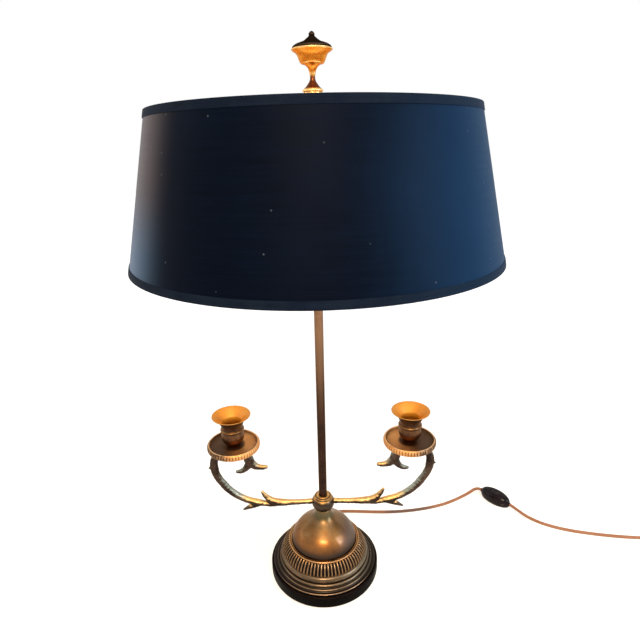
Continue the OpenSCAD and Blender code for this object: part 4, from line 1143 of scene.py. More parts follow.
hub_line = [
    (4.9, 86.6), (8.6, 86.6),
    *flow([(9.2, 86.8), (10.4, 88.0), (11.9, 90.0), (12.9, 92.2), (13.25, 94.6), (13.2, 97.0),
           (12.5, 99.3), (11.2, 101.2)], 4),
    (10.3, 101.9), (10.0, 102.1), *arc(9.35, 103.2, 1.0, -60, 100, 9),  # ring on the ball
    (8.3, 104.4), (7.4, 105.2), (6.9, 105.5), (4.9, 105.5)]
hub = feel(turned("hub_ball", soften(hub_line, 0.2, True), steps=128, loop=True))
place(hub, "lamp", "aged_brass", hub_brass, "hub")

PIPE_R, PIPE_BORE, PIPE_LOW, PIPE_TOP = 4.72, 3.5, 7.5, 355.1
stem_line = [
    (PIPE_BORE, PIPE_LOW), *[(PIPE_R, z) for z in (PIPE_LOW, 30, 120, *range(140, 340, 20))],
    (PIPE_R, PIPE_TOP), (PIPE_BORE, PIPE_TOP), (PIPE_BORE, 200)]
stem = feel(turned("stem_tube", stem_line, steps=64, loop=True))
place(stem, "lamp", "bronze_pipe", pipe_bronze, "stem_pipe")
print("dome", size_mm(dome), "hub", size_mm(hub), "stem", size_mm(stem))

# %% [markdown]
# Each arm is a casting of a thorny twig: a root sheath that splits over the main branch, a
# long curl up and over, and a forked tip with a thorn below. Round bars are laid along the
# branches, a voxel remesh melts them into one skin, and smoothing leaves soft crotches like
# a casting's. Knots and faint lengthwise ridges are then pushed out of the skin.

# %% Cast twig arms
REACH, RISE, HUB_MID, PAN_Z = 100, 78, 96, 174
MELT_VOXEL, MELT_EASE = 0.55, 7
CURL_MID, CURL_R = Vector((88, 0, 135)), 42  # the circle that the long curl roughly follows
RIDGES, RIDGE_HEIGHT, KNOT_HEIGHT, SKIN_SINK = 5, 0.10, 0.55, 0.12
BARK = ((0.24, 0.42), (0.13, 1.1))  # height in mm and fineness of each layer of bark

# each point is (share of the reach, share of the rise, radius)
main_twig = [(0.50, -0.035, 2.4), (0.62, -0.035, 3.1), (0.75, 0, 3.6), (0.87, 0.045, 3.9),
             (0.99, 0.125, 4.1), (1.09, 0.235, 4.2), (1.17, 0.37, 4.4), (1.23, 0.52, 4.5),
             (1.25, 0.66, 4.6), (1.235, 0.79, 4.6), (1.17, 0.885, 4.4), (1.07, 0.93, 4.3),
             (0.96, 0.925, 4.4), (0.88, 0.87, 4.9), (0.845, 0.78, 5.4), (0.83, 0.70, 4.9)]
root_twig = [(0.136, 0, 3.3), (0.22, -0.004, 3.0), (0.34, -0.01, 3.3), (0.46, -0.01, 3.9),
             (0.56, 0.006, 4.1), (0.63, 0.05, 3.8), (0.685, 0.125, 2.9), (0.72, 0.205, 1.4)]
thorns = [[(0.75, -0.01, 3.2), (0.80, -0.035, 3.5), (0.87, -0.070, 3.0), (0.955, -0.126, 1.0)],
          [(1.235, 0.66, 3.9), (1.275, 0.645, 2.6), (1.318, 0.63, 0.6)],
          [(0.83, 0.72, 4.8), (0.775, 0.655, 4.1), (0.72, 0.63, 3.1), (0.675, 0.630, 2.8),
           (0.632, 0.634, 1.8)],
          [(0.83, 0.72, 4.8), (0.865, 0.65, 4.1), (0.905, 0.595, 3.2), (0.955, 0.563, 2.6),
           (1.005, 0.565, 1.6)]]
knots = [(0.76, 0.004, 5), (1.24, 0.655, 6), (0.835, 0.735, 7), (0.47, -0.01, 5),
         (1.14, 0.30, 4), (1.02, 0.935, 5)]


def twig_point(x, z):
    """A point of the arm in mm, from its shares of the reach and of the rise."""
    return (REACH * x, 0, HUB_MID + RISE * z)


def with_modifiers(thing):
    """The mesh of a thing as its modifiers leave it."""
    graph = bpy.context.evaluated_depsgraph_get()
    return bpy.data.meshes.new_from_object(thing.evaluated_get(graph))


def melted(name, things):
    """Joins closed meshes into one skin with a voxel remesh and smooths it."""
    whole = joined(name + "_rough", things)
    melt = whole.modifiers.new("melt", "REMESH")
    melt.mode, melt.voxel_size = "VOXEL", MELT_VOXEL * MM
    ease = whole.modifiers.new("ease", "SMOOTH")
    ease.factor, ease.iterations = 0.5, MELT_EASE
    mesh = with_modifiers(whole)
    bpy.data.objects.remove(whole)
    mesh.shade_smooth()
    return link(name, mesh)


def arm_casting():
    """The right arm, from its tenon in the hub to the boss under the pan."""
    bars = []
    for k, points in enumerate([main_twig, root_twig] + thorns):
        path = flow([(*twig_point(x, z), r) for x, z, r in points], 6)
        bars.append(tube(f"bar{k}", path, [p[3] for p in path], 20))
    boss = [(0, PAN_Z - 6.2), (4.6, PAN_Z - 6.2), (6.0, PAN_Z - 3.5), (6.0, PAN_Z), (0, PAN_Z)]
    bars.append(turned("boss", soften(boss, 0.6), steps=32))
    bars[-1].data.transform(Matrix.Translation((REACH * MM, 0, 0)))
    bars.append(tube("tenon", [(x, 0, HUB_MID) for x in (7.3, 10, 17.3)], 3.0, 24))
    casting = melted("twig_arm", bars)
    mesh = casting.data
    mesh.update()
    spots = [(Vector(twig_point(x, z)), r) for x, z, r in knots]
    normals = [v.normal.copy() for v in mesh.vertices]
    for v, n in zip(mesh.vertices, normals):
        p = v.co / MM
        if p.x < 14.5 or (abs(p.x - REACH) < 8 and p.z > PAN_Z - 7):
            continue  # the tenon and the boss are machined, so they stay smooth
        around = math.atan2(p.y, (p - CURL_MID).length - CURL_R)
        ridge = RIDGE_HEIGHT * math.sin(RIDGES * around + 4 * noise.noise(p * 0.05))
        bark = sum(high * noise.noise(p * fine) for high, fine in BARK)
        knot = sum(KNOT_HEIGHT * math.exp(-((p - s).length / r) ** 2) for s, r in spots)
        v.co += n * (ridge + bark + knot - SKIN_SINK) * MM
    mesh.update()
    return casting


right_arm = arm_casting()
left_arm = link("twig_arm_left", right_arm.data.copy())
left_arm.data.transform(Matrix.Diagonal((-1, 1, 1, 1)))
left_arm.data.flip_normals()
right_arm.name = "twig_arm_right"
for arm, node in ((right_arm, "arm_right"), (left_arm, "arm_left")):
    place(feel(arm), "lamp", "cast_brass", twig_brass, node)
print("each arm has", len(right_arm.data.vertices), "points")

# %% [markdown]
# A drip pan catches wax: a shallow dish with a fluted rim, like a coin's edge. The candle
# cup stands in it, screwed through from above, and is turned from one piece: a rounded
# body, a bead round its neck and a trumpet mouth over the bore for the candle.

# %% Drip pans and candle cups
FLUTES, FLUTE_DEPTH, FLUTE_SHARPNESS = 56, 0.55, 0.5
POINTS_PER_FLUTE = 10
CUP_Z = PAN_Z + 2.2
pan_line = [
    (1.9, 2.2), (14, 2.2), (20, 2.6), (24.2, 3.2), (26.3, 4.1), (26.9, 4.9),  # dish
    *arc(27.75, 5.05, 0.8, 165, 60, 8),  # round top of the rim, then its flutes
    (28.6, 5.25, 0.15), (29.2, 4.75, 0.6), (29.6, 4.0, 1), (29.75, 3.0, 1), (29.75, 2.0, 1),
    (29.75, 1.0, 1), (29.5, 0.2, 1), (29.1, -0.6, 0.6), (28.5, -1.1, 0.15),
    (28.0, -1.3), (27.3, -1.2), (27.0, 0.3), (25.4, 1.3), (20, 0.6), (14, 0.1), (6.2, 0.05),
    (1.9, 0.05)]
cup_line = [
    (2.1, 0.05), (6.9, 0.05), (7.6, 0.4), (7.9, 1.1),  # foot, then the rounded body
    *flow([(8.0, 1.9), (8.7, 3.2), (10.2, 5.0), (11.6, 7.4), (12.4, 10.2), (12.6, 13.0),
           (12.3, 15.6), (11.75, 17.8)], 4),
    (11.5, 18.7), *arc(11.6, 20.7, 1.65, -78, 80, 12), (11.55, 22.7),  # bead
    *flow([(11.7, 23.6), (12.2, 26.0), (13.3, 29.0), (15.2, 32.2), (17.6, 35.2), (20.0, 37.3),
           (21.2, 37.8)], 4),
    *arc(21.1, 38.05, 0.4, -60, 100, 7),  # lip of the trumpet, then its inside
    *flow([(20.4, 38.1), (18.4, 36.9), (16.1, 35.0), (14.0, 32.8), (12.2, 30.8), (11.1, 29.6),
           (10.75, 28.4)], 4),
    (10.75, 11.0), (10.5, 10.2), (3.9, 10.2), (3.9, 7.8), (2.1, 7.8)]  # bore, screw's seat
for label, x in (("left", -REACH), ("right", REACH)):
    pan = feel(turned("drip_pan_" + label + "_dish", pan_line, (x, 0, PAN_Z),
                      FLUTES * POINTS_PER_FLUTE, True, (FLUTES, FLUTE_DEPTH, FLUTE_SHARPNESS)))
    pan.rotation_euler.z = math.pi if x < 0 else 0
    place(pan, "lamp", "aged_brass", pan_brass, "drip_pan_" + label)
    cup = feel(turned("candle_cup_" + label + "_body", soften(cup_line, 0.25, True),
                      (x, 0, CUP_Z), 144, True))
    place(cup, "lamp", "aged_brass", cup_brass, "candle_cup_" + label)
dress("cup_screws", steel, 0.3)
print("pan", size_mm(pan), "cup", size_mm(cup))

# %% [markdown]
# Under the shade: a lock nut, the saddle with its two posts, the harp that slips over them,
# and the sleeves that keep the harp on. The harp is one soft bow of drawn wire, so it is
# swept along the same points as its solid, only finer.

# %% Saddle, harp and sleeves
dress("lock_nut", socket_brass, 0.4)
dress("harp_saddle", wire_brass, 0.3)
dress("harp_plate", wire_brass, 0.4)
LEG_X, LEG_Z, BOW_X, BEND_Z = 30, 362, 52, 385  # feet of the legs, and the bow above them
SEAT_Z, PLATE_DEPTH, WIRE_SINK = 525, 2.2, 0.55  # the shade's seat, and what lies under it
HARP_TOP = SEAT_Z - PLATE_DEPTH - WIRE_SINK
HARP_RISE = HARP_TOP - BEND_Z
HARP_R = 1.6
SLEEVE_Z = 358
leg = [(LEG_X, LEG_Z), (LEG_X, BEND_Z), (LEG_X, BEND_Z + 4),
       (LEG_X + (BOW_X - LEG_X) * 0.62, BEND_Z + HARP_RISE * 0.22),
       (BOW_X, BEND_Z + HARP_RISE * 0.45), (BOW_X * 0.93, BEND_Z + HARP_RISE * 0.68),
       (BOW_X * 0.66, BEND_Z + HARP_RISE * 0.89), (BOW_X * 0.48, HARP_TOP - 6.4),
       (BOW_X * 0.32, HARP_TOP - 1.6), (11.15, HARP_TOP - 0.2), (8.15, HARP_TOP)]
harp = feel(joined("harp_bow", [
    tube(f"leg{side}", [(side * x, 0, z) for x, z in flow(leg, 8)], HARP_R, 18)
    for side in (1, -1)]))
place(harp, "lamp", "brass_wire", wire_brass, "harp_wire")
sleeve_line = soften([(1.95, 0), (3.2, 0), (3.2, 1.2), (2.95, 1.6), (2.95, 10.4), (3.2, 10.8),
                      (3.2, 12), (1.95, 12)], 0.3, True)
for label, body, x in (("left", "sleeve_l", -LEG_X), ("right", "sleeve_r", LEG_X)):
    sleeve = feel(turned("locking_sleeve_" + label, sleeve_line, (x, 0, SLEEVE_Z), 48, True))
    place(sleeve, body, "aged_brass", wire_brass, "sleeve_" + label)
print("harp", size_mm(harp))

# %% [markdown]
# The socket has a spun cap, a straight shell with a rolled bead, a fibre liner and a
# porcelain core. The bulb screws into it, so its base has a real rolled thread: a wave in
# the radius that climbs as it goes round.

# %% Socket and bulb
CAP_Z, SHELL_Z, BULB_Z = 347.6, 360.5, 368.5
THREAD_LOW, THREAD_HIGH, THREAD_R = 6, 26, 12.55
PITCH, THREAD_DEPTH = 3.62, 0.4
RUN_IN, RUN_OUT = 2, 3  # the thread grows to its full depth over these heights
cap_line = soften([(4.9, 0), (7.4, 0), (7.4, 6.6), (8.4, 7.6), (13.6, 9.4), (16.6, 11.6),
                   (17.35, 13.2), (17.35, 17), (16.65, 17), (16.65, 13.0), (13.4, 10.6),
                   (8.2, 8.8), (4.9, 8.8)], 0.9, True)
cap = feel(turned("socket_cap_spun", cap_line, (0, 0, CAP_Z), 128, True))
place(cap, "lamp", "socket_brass", socket_brass, "socket_cap")
shell_line = [
    (16.5, 0.2), (16.5, 14), *arc(16.5, 15.5, 0.4, -80, 80, 7), (16.5, 17), (16.5, 36.3),
    *arc(16.5, 38, 0.5, -80, 80, 7),
    (16.5, 40), (16.5, 41.7), (16.2, 42), (15.9, 41.7), (15.9, 0.2)]
shell = feel(turned("socket_shell_beaded", shell_line, (0, 0, SHELL_Z), 128, True))
place(shell, "lamp", "socket_brass", socket_brass, "socket_shell")
dress("socket_liner", fibre, 0.1)
dress("socket_core", porcelain, 0.3)


def threaded_base():
    """The bulb's screw shell, which fades out at both ends of the thread, and its tip."""
    rows, around = 120, 64
    points = []
    for i in range(rows + 1):
        z = THREAD_LOW + (THREAD_HIGH - THREAD_LOW) * i / rows
        full = max(0, min(1, (z - THREAD_LOW) / RUN_IN) * min(1, (THREAD_HIGH - z) / RUN_OUT))
        for j in range(around):
            a = 2 * math.pi * j / around
            r = THREAD_R + THREAD_DEPTH * math.sin(2 * math.pi * z / PITCH - a) * full
            points.append((r * math.cos(a), r * math.sin(a), z))
    faces = quads(rows + 1, around, range(rows + 1))[0]
    faces += [range(rows * around, (rows + 1) * around), range(around - 1, -1, -1)]
    screw = to_object("thread", points, faces)
    tip_line = [(0, 0.1), (3.9, 0.1), (5, 1.5), (10, 3.8), (12.0, 6.05), (0, 6.05)]
    whole = joined("bulb_base_screw", [screw, turned("tip", soften(tip_line, 0.4), steps=64)])
    whole.location = (0, 0, BULB_Z * MM)
    return whole


screw_base = feel(threaded_base())
place(screw_base, "bulb", "bulb_screw", steel, "bulb_base")
glass_line = [
    (0, 0.2), (12.8, 0.2),
    *flow([(13.3, 0.6), (13.6, 4), (14.2, 9), (16.2, 14.5), (18.9, 20.1), (22.7, 27.2),
           (26.1, 34.5), (28.8, 41.5), (29.9, 48), (29.7, 54.5), (27.7, 63), (22.4, 71.6),
           (13.5, 78.5), (6.5, 80.6), (0, 80.9)], 4)]
glass = turned("bulb_globe", glass_line, (0, 0, BULB_Z + THREAD_HIGH), 96)
place(glass, "bulb", "bulb_glass", bulb_frost, "bulb_glass")
print("bulb", size_mm(glass))

# %% [markdown]
# The shade is a cone of painted card on two ring wires, dark outside and pale gold inside.
# One sheet is rolled and lapped at the back, so the seam shows there as a fine step. Card is
# never quite round, and a slow wave of a tenth of a millimetre keeps its shine alive.

# %% Shade card
SHADE_TOP, SHADE_BOTTOM = 525.6, 391.6
TOP_R, BOTTOM_R = 147.5, 177.25
HOOP_UV, ROW_UV = 0.16, 0.0056  # metres for one radian round the shade, and for one row
CARD_MARGIN = 0.1  # the card ends this far inside the edges of the shade
OUTER_SKIN, INNER_SKIN, LAP_STEP = -0.14, -1.15, 0.32
LAP_FROM, LAP_TO = math.radians(89.5), math.radians(94)


def shade_r(z):
    """The shade's radius at a height."""
    return TOP_R + (BOTTOM_R - TOP_R) * (SHADE_TOP - z) / (SHADE_TOP - SHADE_BOTTOM)


def card_piece():
    """An outer and an inner skin, closed at both edges, with the step of the lap outside."""
    rows, around = 24, 288
    marks = sorted([2 * math.pi * j / around for j in range(around)]
                   + [LAP_TO - 0.0008, LAP_TO + 0.0008])
    count = len(marks)
    points = []
    for outside in (True, False):
        for i in range(rows + 1):
            z = SHADE_BOTTOM + CARD_MARGIN
            z += (SHADE_TOP - SHADE_BOTTOM - 2 * CARD_MARGIN) * i / rows
            for a in marks:
                proud = LAP_STEP if LAP_FROM < a < LAP_TO else 0.0
                wave = 0.10 * math.sin(3 * a + 1) + 0.06 * math.sin(7 * a)
                r = shade_r(z) + wave + (proud + OUTER_SKIN if outside else INNER_SKIN)
                points.append((r * math.cos(a), r * math.sin(a), z))
    half = (rows + 1) * count
    sheet = quads(rows + 1, count, range(rows + 1))[0]
    edges = []
    for i in (0, rows):
        for j in range(count):
            m = (j + 1) % count
            edges.append((i * count + j, i * count + m, half + i * count + m, half + i * count + j))
    turn = [a * HOOP_UV for a in marks + [2 * math.pi]]
    sheet_uvs = [(turn[j + on], (i + up) * ROW_UV) for i in range(rows) for j in range(count)
                 for on, up in ((0, 0), (1, 0), (1, 1), (0, 1))]
    edge_uvs = [(0, 0), (0.001, 0), (0.001, 0.001), (0, 0.001)] * len(edges)
    faces = sheet + [[half + v for v in face] for face in sheet] + edges
    card = to_object("shade_cone", points, faces, uvs=sheet_uvs * 2 + edge_uvs)
    lining = range(len(sheet), 2 * len(sheet))
    for k, polygon in enumerate(card.data.polygons):
        polygon.material_index = int(k in lining)
    return card


card = card_piece()
place(card, "shade", "shade_card", [navy_card, pale_lining], "shade_card")
print("shade", size_mm(card))

# %% [markdown]
# A folded tape covers both edges of the card and holds the wires in. Its section is a narrow
# hook: an outer leaf, a round fold over the edge and an inner leaf. The outer leaf is dented
# a little all round, as cloth that was pasted down by hand.

# %% Folded trims
TAPE_DENT = 0.16


def trim_piece(name, low, high, folded_top):
    """Tape over an edge of the card; folded_top says which of its heights has the fold."""
    edge, far, step = (high, low, -1) if folded_top else (low, high, 1)
    outer = [(0.10, far), (0.42, far - 0.25 * step), (0.52, far - 1.4 * step),
             (0.50, edge + 0.8 * step)]
    fold = [(0.42, edge + 0.25 * step), (0.1, edge + 0.02 * step), (-0.6, edge),
            (-1.35, edge + 0.05 * step), (-1.68, edge + 0.3 * step)]
    back = [(-1.72, edge + 1.0 * step), (-1.70, far - 1.2 * step), (-1.6, far - 0.2 * step),
            (-1.3, far)]
    line = [(shade_r(z) + out, z) for out, z in outer + fold + back]
    trim = turned(name, line, steps=288, loop=True)
    for v in trim.data.vertices:
        p = v.co / MM
        a, r = math.atan2(p.y, p.x), math.hypot(p.x, p.y)
        spot = Vector((math.cos(a) * 9, math.sin(a) * 9, p.z * 0.08))
        dent = min(0.0, TAPE_DENT * noise.noise(spot))
        if r > shade_r(p.z) - 0.3:
            k = (r + dent) / r
            v.co.x, v.co.y = v.co.x * k, v.co.y * k
    layer = trim.data.uv_layers[0].data
    for loop in trim.data.loops:
        p = trim.data.vertices[loop.vertex_index].co
        layer[loop.index].uv = (math.atan2(p.y, p.x) * HOOP_UV, p.z)
    return trim


top_trim = trim_piece("top_trim_tape", SHADE_TOP - 6.1, SHADE_TOP + 0.5, True)
bottom_trim = trim_piece("bottom_trim_tape", SHADE_BOTTOM - 0.5, SHADE_BOTTOM + 5.9, False)
place(top_trim, "shade", "shade_trim", navy_trim, "top_trim")
place(bottom_trim, "shade", "shade_trim", navy_trim, "bottom_trim")
print("trims", size_mm(top_trim), size_mm(bottom_trim))

# %% [markdown]
# Two ring wires keep the shade round. From the top one, three spokes run to the washer that
# the finial clamps on the harp. The spokes are cranked up a little at the washer and meet
# the ring with a small weld bead.

# %% Ring wires and spider
WIRE_R, SPOKE_R = 1.3, 1.05
WIRE_INSET = 1.2 + 0.5 + 0.15  # card, tape and a little room between the card and a wire
LOWER_Z, UPPER_Z = SHADE_BOTTOM + 3, SHADE_TOP - 3
SPOKE_Z = 522.6


def wire_radius(z):
    """Where a ring wire lies inside the card at a height."""
    return shade_r(z) - (WIRE_INSET + WIRE_R * 1.02)


def ring(name, z):
    """A closed hoop of wire that fits the shade at a height."""
    radius = wire_radius(z)
    path = [(radius * math.cos(a), radius * math.sin(a), z)
            for a in np.linspace(0, 2 * math.pi, 193)[:-1]]
    return tube(name, path, WIRE_R, 14, closed=True)


def outward(points, a):
    """[distance from the axis, height] points, laid out in the direction a."""
    return [(r * math.cos(a), r * math.sin(a), z) for r, z in points]


lower = feel(ring("bottom_ring_wire", LOWER_Z))
place(lower, "shade", "brass_wire", wire_brass, "bottom_ring")
washer = soften([(3.2, 525.0), (12, 525.0), (12, 526.4), (3.2, 526.4)], 0.3, True)
parts = [ring("ring", UPPER_Z), turned("washer", washer, steps=64, loop=True)]
upper_r = wire_radius(UPPER_Z)
spoke = flow([(upper_r, SPOKE_Z), (upper_r - 6, 522.7), (110, 523.2), (60, 524.2), (20, 525.1),
              (11, 525.35)], 4)
weld = [(upper_r - 3.4, 522.62), (upper_r - 1.6, SPOKE_Z), (upper_r, SPOKE_Z)]
for degree in (90, 210, 330):
    a = math.radians(degree)
    parts.append(tube("spoke", outward(spoke, a), SPOKE_R, 12))
    parts.append(tube("weld", outward(weld, a), [0.9, 1.5, 1.55], 12))
spider = feel(joined("spider_wires", parts))
place(spider, "shade", "brass_wire", wire_brass, "spider")
print("lower ring", size_mm(lower), "spider", size_mm(spider))

# %% [markdown]
# The finial is an urn in three turnings on one thread: a collar and waisted neck, a bright
# bowl, and a dark lid with a knob. Rim and bowl catch the light of the bulb below.

# %% Finial
FINIAL_Z = 526.7
BOWL_Z, LID_Z = FINIAL_Z + 28.75, FINIAL_Z + 49.06
collar_line = [
    (3.3, 0), (8.0, 0), (8.28, 0.4), (8.28, 1.6), (7.9, 2.0), (7.9, 11.4), (8.25, 12.0),
    (8.28, 13.3), (7.9, 13.8), *arc(8.3, 15.0, 1.0, -70, 80, 10),  # bead, then the waist
    *flow([(8.2, 16.4), (7.1, 17.3), (5.7, 18.8), (4.3, 20.6), (3.1, 22.4), (2.45, 24.2),
           (2.3, 25.6), (2.4, 27.2), (2.7, 28.7)], 4),
    (0, 28.7), (0, 13.9), (3.3, 13.9)]  # hole for the thread
collar = feel(turned("finial_collar", soften(collar_line, 0.25, True), (0, 0, FINIAL_Z), 96,
                     True))
place(collar, "finial", "aged_brass", collar_brass, "finial_base")
bowl_line = [
    (0, 0.05), (2.7, 0.05),
    *flow([(2.85, 0.8), (3.3, 2.6), (4.3, 4.6), (5.7, 6.2), (6.9, 7.1)], 4),
    (7.6, 7.4), (9.9, 7.9), (10.5, 8.3),  # step from the foot to the bowl
    *flow([(11.0, 9.0), (12.1, 11.6), (13.1, 14.2), (14.6, 16.3), (17.4, 18.2)], 4),
    *arc(17.9, 19.2, 0.5, -40, 110, 7), (17.3, 20.0), (16.4, 20.2), (0, 20.2)]
bowl = feel(turned("finial_bowl", soften(bowl_line, 0.25), (0, 0, BOWL_Z), 128))
place(bowl, "finial", "aged_brass", finial_brass, "finial_urn")
lid_line = [
    (0, 0.05), (17.0, 0.05), (17.4, 0.35), (17.3, 0.95),
    *flow([(16.6, 1.7), (14.6, 2.9), (11.6, 4.0), (8.7, 5.0), (6.6, 6.2), (4.6, 7.7),
           (3.1, 9.0), (2.45, 9.8)], 4),
    *flow([(2.5, 10.2), (2.75, 10.7), (2.5, 11.5), (1.6, 12.6), (0.7, 13.25), (0, 13.4)], 4)]
lid = feel(turned("finial_cover", soften(lid_line, 0.2), (0, 0, LID_Z), 128))
place(lid, "finial", "lid_bronze", lid_bronze, "finial_lid")
print("finial collar", size_mm(collar), "bowl", size_mm(bowl), "lid", size_mm(lid))

# %% [markdown]
# The in-line switch is a flat oval of glossy plastic in two halves, screwed from below, with
# a see-saw key in a slot on top. The oval is an ellipse in plan. A profile from rim to crown
# is scaled along both axes of it, so the crown stays smooth and the sides stay upright.

# %% Switch
SWITCH_AT, SWITCH_TURN, SEAM_Z = (251, 109.7, 0), math.radians(-50), 6.0
HALF_L, HALF_W, OVAL_STEPS = 22.0, 11.0, 160
SLOT_L, SLOT_W = 8.0, 4.0
KEY_L, KEY_W, KEY_LOW = 7.3, 3.6, 10.6


def standing(at, turn):
    """The move that sets a piece down at a point in mm, turned about the upright."""
    return Matrix.Translation(Vector(at) * MM) @ Matrix.Rotation(turn, 4, "Z")


def capped(name, points, rings, around):
    """A tube of rings of points with a flat face over its first and its last ring."""
    faces = quads(rings, around, range(rings))[0]
    faces += [range(around), range((rings - 1) * around, rings * around)]
    return to_object(name, points, faces)


def oval_shell(name, line):
    """Rings of the switch's ellipse for [share of its half length, height]."""
    angles = [2 * math.pi * j / OVAL_STEPS for j in range(OVAL_STEPS)]
    points = [(HALF_L * share * math.cos(a), HALF_W * share * math.sin(a), z)
              for share, z in line for a in angles]
    return capped(name, points, len(line), OVAL_STEPS)


def cut(thing, cutter):
    """Takes cutter out of thing and applies the result."""
    tool = thing.modifiers.new("cut", "BOOLEAN")
    tool.operation, tool.object, tool.solver = "DIFFERENCE", cutter, "EXACT"
    mesh = with_modifiers(thing)
    thing.modifiers.clear()
    old, thing.data = thing.data, mesh
    bpy.data.meshes.remove(old)
    bpy.data.objects.remove(cutter)
    smooth(mesh)
    return thing


def block(name, low, high):
    """A square-cornered cutter between two corners, in mm."""
    (x0, y0, z0), (x1, y1, z1) = low, high
    points = [(x, y, z) for z in (z0, z1) for y in (y0, y1) for x in (x0, x1)]
    return to_object(name, points, [(0, 2, 3, 1), (4, 5, 7, 6), (0, 1, 5, 4), (2, 6, 7, 3),
                                    (0, 4, 6, 2), (1, 3, 7, 5)])


def prism(name, outline, near, far):
    """An outline of [x, z], drawn out from y = near to y = far."""
    points = [(x, y, z) for y in (near, far) for x, z in outline]
    n = len(outline)
    sides = [(k, (k + 1) % n, n + (k + 1) % n, n + k) for k in range(n)]
    return to_object(name, points, [range(n), range(n, 2 * n)] + sides)


upper_line = [
    (0.985, SEAM_Z + 0.15), (1.0, SEAM_Z + 0.35), (1.0, SEAM_Z + 0.9),
    *flow([(0.998, SEAM_Z + 1.6), (0.985, SEAM_Z + 2.9), (0.955, SEAM_Z + 4.5),
           (0.90, SEAM_Z + 6.0), (0.80, SEAM_Z + 7.6), (0.66, SEAM_Z + 8.6),
           (0.46, SEAM_Z + 9.2), (0.24, SEAM_Z + 9.42), (0.05, SEAM_Z + 9.48)], 3)]
lower_line = [(0.84, 0.05), (0.90, 0.35), (0.955, 1.2), (0.985, 2.6), (0.998, 4.4),
              (1.0, SEAM_Z - 0.35), (0.985, SEAM_Z - 0.12)]
switch_top = oval_shell("switch_cover", upper_line)
opening = block("slot", (-SLOT_L, -SLOT_W, SEAM_Z - 1), (SLOT_L, SLOT_W, 30))
switch_top = cut(switch_top, opening)
switch_low = oval_shell("switch_base", lower_line)
collars = [tube("collar", [(side * x, 0, SEAM_Z) for x in (15, 20.5, 22.4, 22.6)],
                [3.1, 3.1, 3.0, 2.7], 24) for side in (1, -1)]
switch_top = joined("switch_cover_shell", [switch_top] + collars)
key = [(-KEY_L, KEY_LOW), (KEY_L, KEY_LOW), (KEY_L, 14.5), (6.9, 14.85), (3.6, 15.1),
       (1.6, 14.75), (0, 14.5), (-1.6, 14.75), (-3.6, 15.1), (-6.9, 14.85), (-KEY_L, 14.5)]
rocker = prism("switch_key", key, -KEY_W, KEY_W)
break_edges(rocker, 0.35, 3)
for thing, body, finish, node in ((switch_top, "lamp", black_gloss, "switch_upper"),
                                  (switch_low, "lamp", black_gloss, "switch_lower"),
                                  (rocker, "rocker", black_key, "switch_rocker")):
    thing.data.transform(standing(SWITCH_AT, SWITCH_TURN))
    place(feel(thing), body, "black_plastic", finish, node)
dress("switch_screws", steel)
print("switch", len(switch_top.data.vertices), "points")

# %% [markdown]
# The gland is a small black bushing with a flange, pressed into the plinth's back. Its tail
# tapers over the cord for a few millimetres to save it from a sharp bend. The plug is one
# soft moulding from a round relief to a square grip, and a strap ties the coil.

# %% Gland, plug and tie
GLAND_Y, GLAND_Z = 57, 5.1
gland_line = [(2.1, 0), (2.8, 0), (2.8, 7.9), (3.35, 8.2), (3.4, 9.4), (3.0, 9.9), (2.8, 10.4),
              (2.62, 12.6), (2.4, 13), (2.1, 13)]
gland = turned("cord_bushing", soften(gland_line, 0.2, True), steps=48, loop=True)
gland.data.transform(Matrix.Translation((0, GLAND_Y * MM, GLAND_Z * MM))
                     @ Matrix.Rotation(-math.pi / 2, 4, "X"))
place(feel(gland), "lamp", "black_plastic", soft_black, "cord_gland")

PLUG_AT, PLUG_TURN, PLUG_Z = (490.7, -40, 0), math.radians(-82), 7.0
BLADE_Y, BLADE_HALF = 6.35, 0.75


def plug_shell():
    """Superellipse rings from the cord's relief, over the grip's waist, to the flat face."""
    # each station is (distance along the plug, half width, half height, squareness)
    stations = flow([(0, 2.9, 2.9, 2), (1.5, 3.2, 3.1, 2), (5, 3.7, 3.4, 2.2),
                     (9, 4.6, 4.1, 2.6), (12, 6.0, 5.0, 3), (15, 9.2, 6.0, 3.4),
                     (17.5, 11.2, 6.6, 4), (20, 11.8, 6.85, 4.4), (24, 11.5, 6.8, 4.6),
                     (28, 11.8, 6.9, 5), (29.6, 11.7, 6.8, 5), (30, 11.2, 6.4, 5)], 3)
    steps, points = 64, []
    for x, w, h, power in stations:
        for j in range(steps):
            a = 2 * math.pi * j / steps
            c, s = math.cos(a), math.sin(a)
            points.append((x, w * math.copysign(abs(c) ** (2 / power), c),
                           PLUG_Z + h * math.copysign(abs(s) ** (2 / power), s)))
    return capped("plug_moulding", points, len(stations), steps)


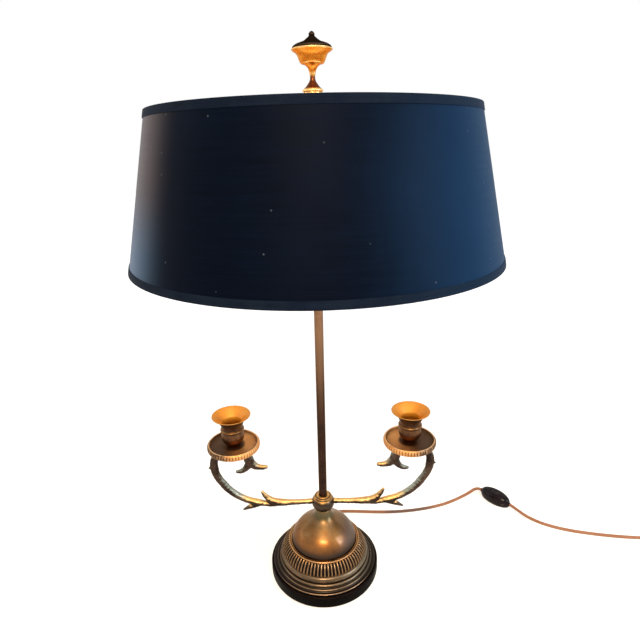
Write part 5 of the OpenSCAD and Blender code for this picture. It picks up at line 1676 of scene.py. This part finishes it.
def plug_blade(y):
    """One contact blade: a strip with its tip nipped and a hole near its end."""
    outline = [(30, -3.2), (45.6, -3.2), (47, -1.8), (47, 1.8), (45.6, 3.2), (30, 3.2)]
    blade = prism("blade", [(x, PLUG_Z + z) for x, z in outline], y - BLADE_HALF, y + BLADE_HALF)
    hole = tube("hole", [(42.5, y - 3, PLUG_Z), (42.5, y + 3, PLUG_Z)], 1.5, 24)
    return cut(blade, hole)


plug = plug_shell()
blades = joined("plug_blades_pair", [plug_blade(side * BLADE_Y) for side in (-1, 1)])
for thing, slot, finish, node in ((plug, "black_plastic", soft_black, "plug_body"),
                                  (blades, "steel", steel, "plug_blades")):
    thing.data.transform(standing(PLUG_AT, PLUG_TURN))
    place(feel(thing), "lamp", slot, finish, node)


COIL_MIDDLE_R = (min(RADII) + max(RADII)) / 2


def tie_strap():
    """A soft strap, a rounded rectangle bent round the coil's section."""
    half_w, low, high, wall, wide = 8.35, 0.1, 8.9, 0.8, 3.6
    path = []
    for cx, cz, a0 in ((half_w - 2, low + 2.4, -90), (half_w - 2, high - 2.4, 0),
                       (-half_w + 2, high - 2.4, 90), (-half_w + 2, low + 2.4, 180)):
        path += arc(cx, cz, 2.2, a0, a0 + 90, 7)
    middle, points = np.array([0, (low + high) / 2]), []
    for x, z in path:
        d = np.array([x, z]) - middle
        d /= np.linalg.norm(d)
        for out, y in ((0, -wide), (wall, -wide), (wall, wide), (0, wide)):
            points.append((COIL_MIDDLE_R + x + d[0] * out, y, max(0.05, z + d[1] * out)))
    faces = quads(len(path), 4, range(len(path) + 1))[0]
    strap = to_object("coil_strap", points, faces)
    break_edges(strap, 0.2)
    return strap


strap = tie_strap()
strap.data.transform(standing((*COIL_AT, 0), math.radians(-70)))
place(feel(strap), "lamp", "black_plastic", soft_black, "coil_tie")
print("gland", size_mm(gland), "plug", size_mm(plug), "strap", size_mm(strap))

# %% [markdown]
# The cords are laid last. Each one hides the solids of its own run: the run to the switch, and
# the run over the coil to the plug. Both runs lie loose on the floor.

# %% Lay the cords
laid_cord("cord_first_run", first_path, ["cord_to_switch"])
laid_cord("cord_second_run", second_path, ["cord_to_coil", "cord_coil", "cord_to_plug"])
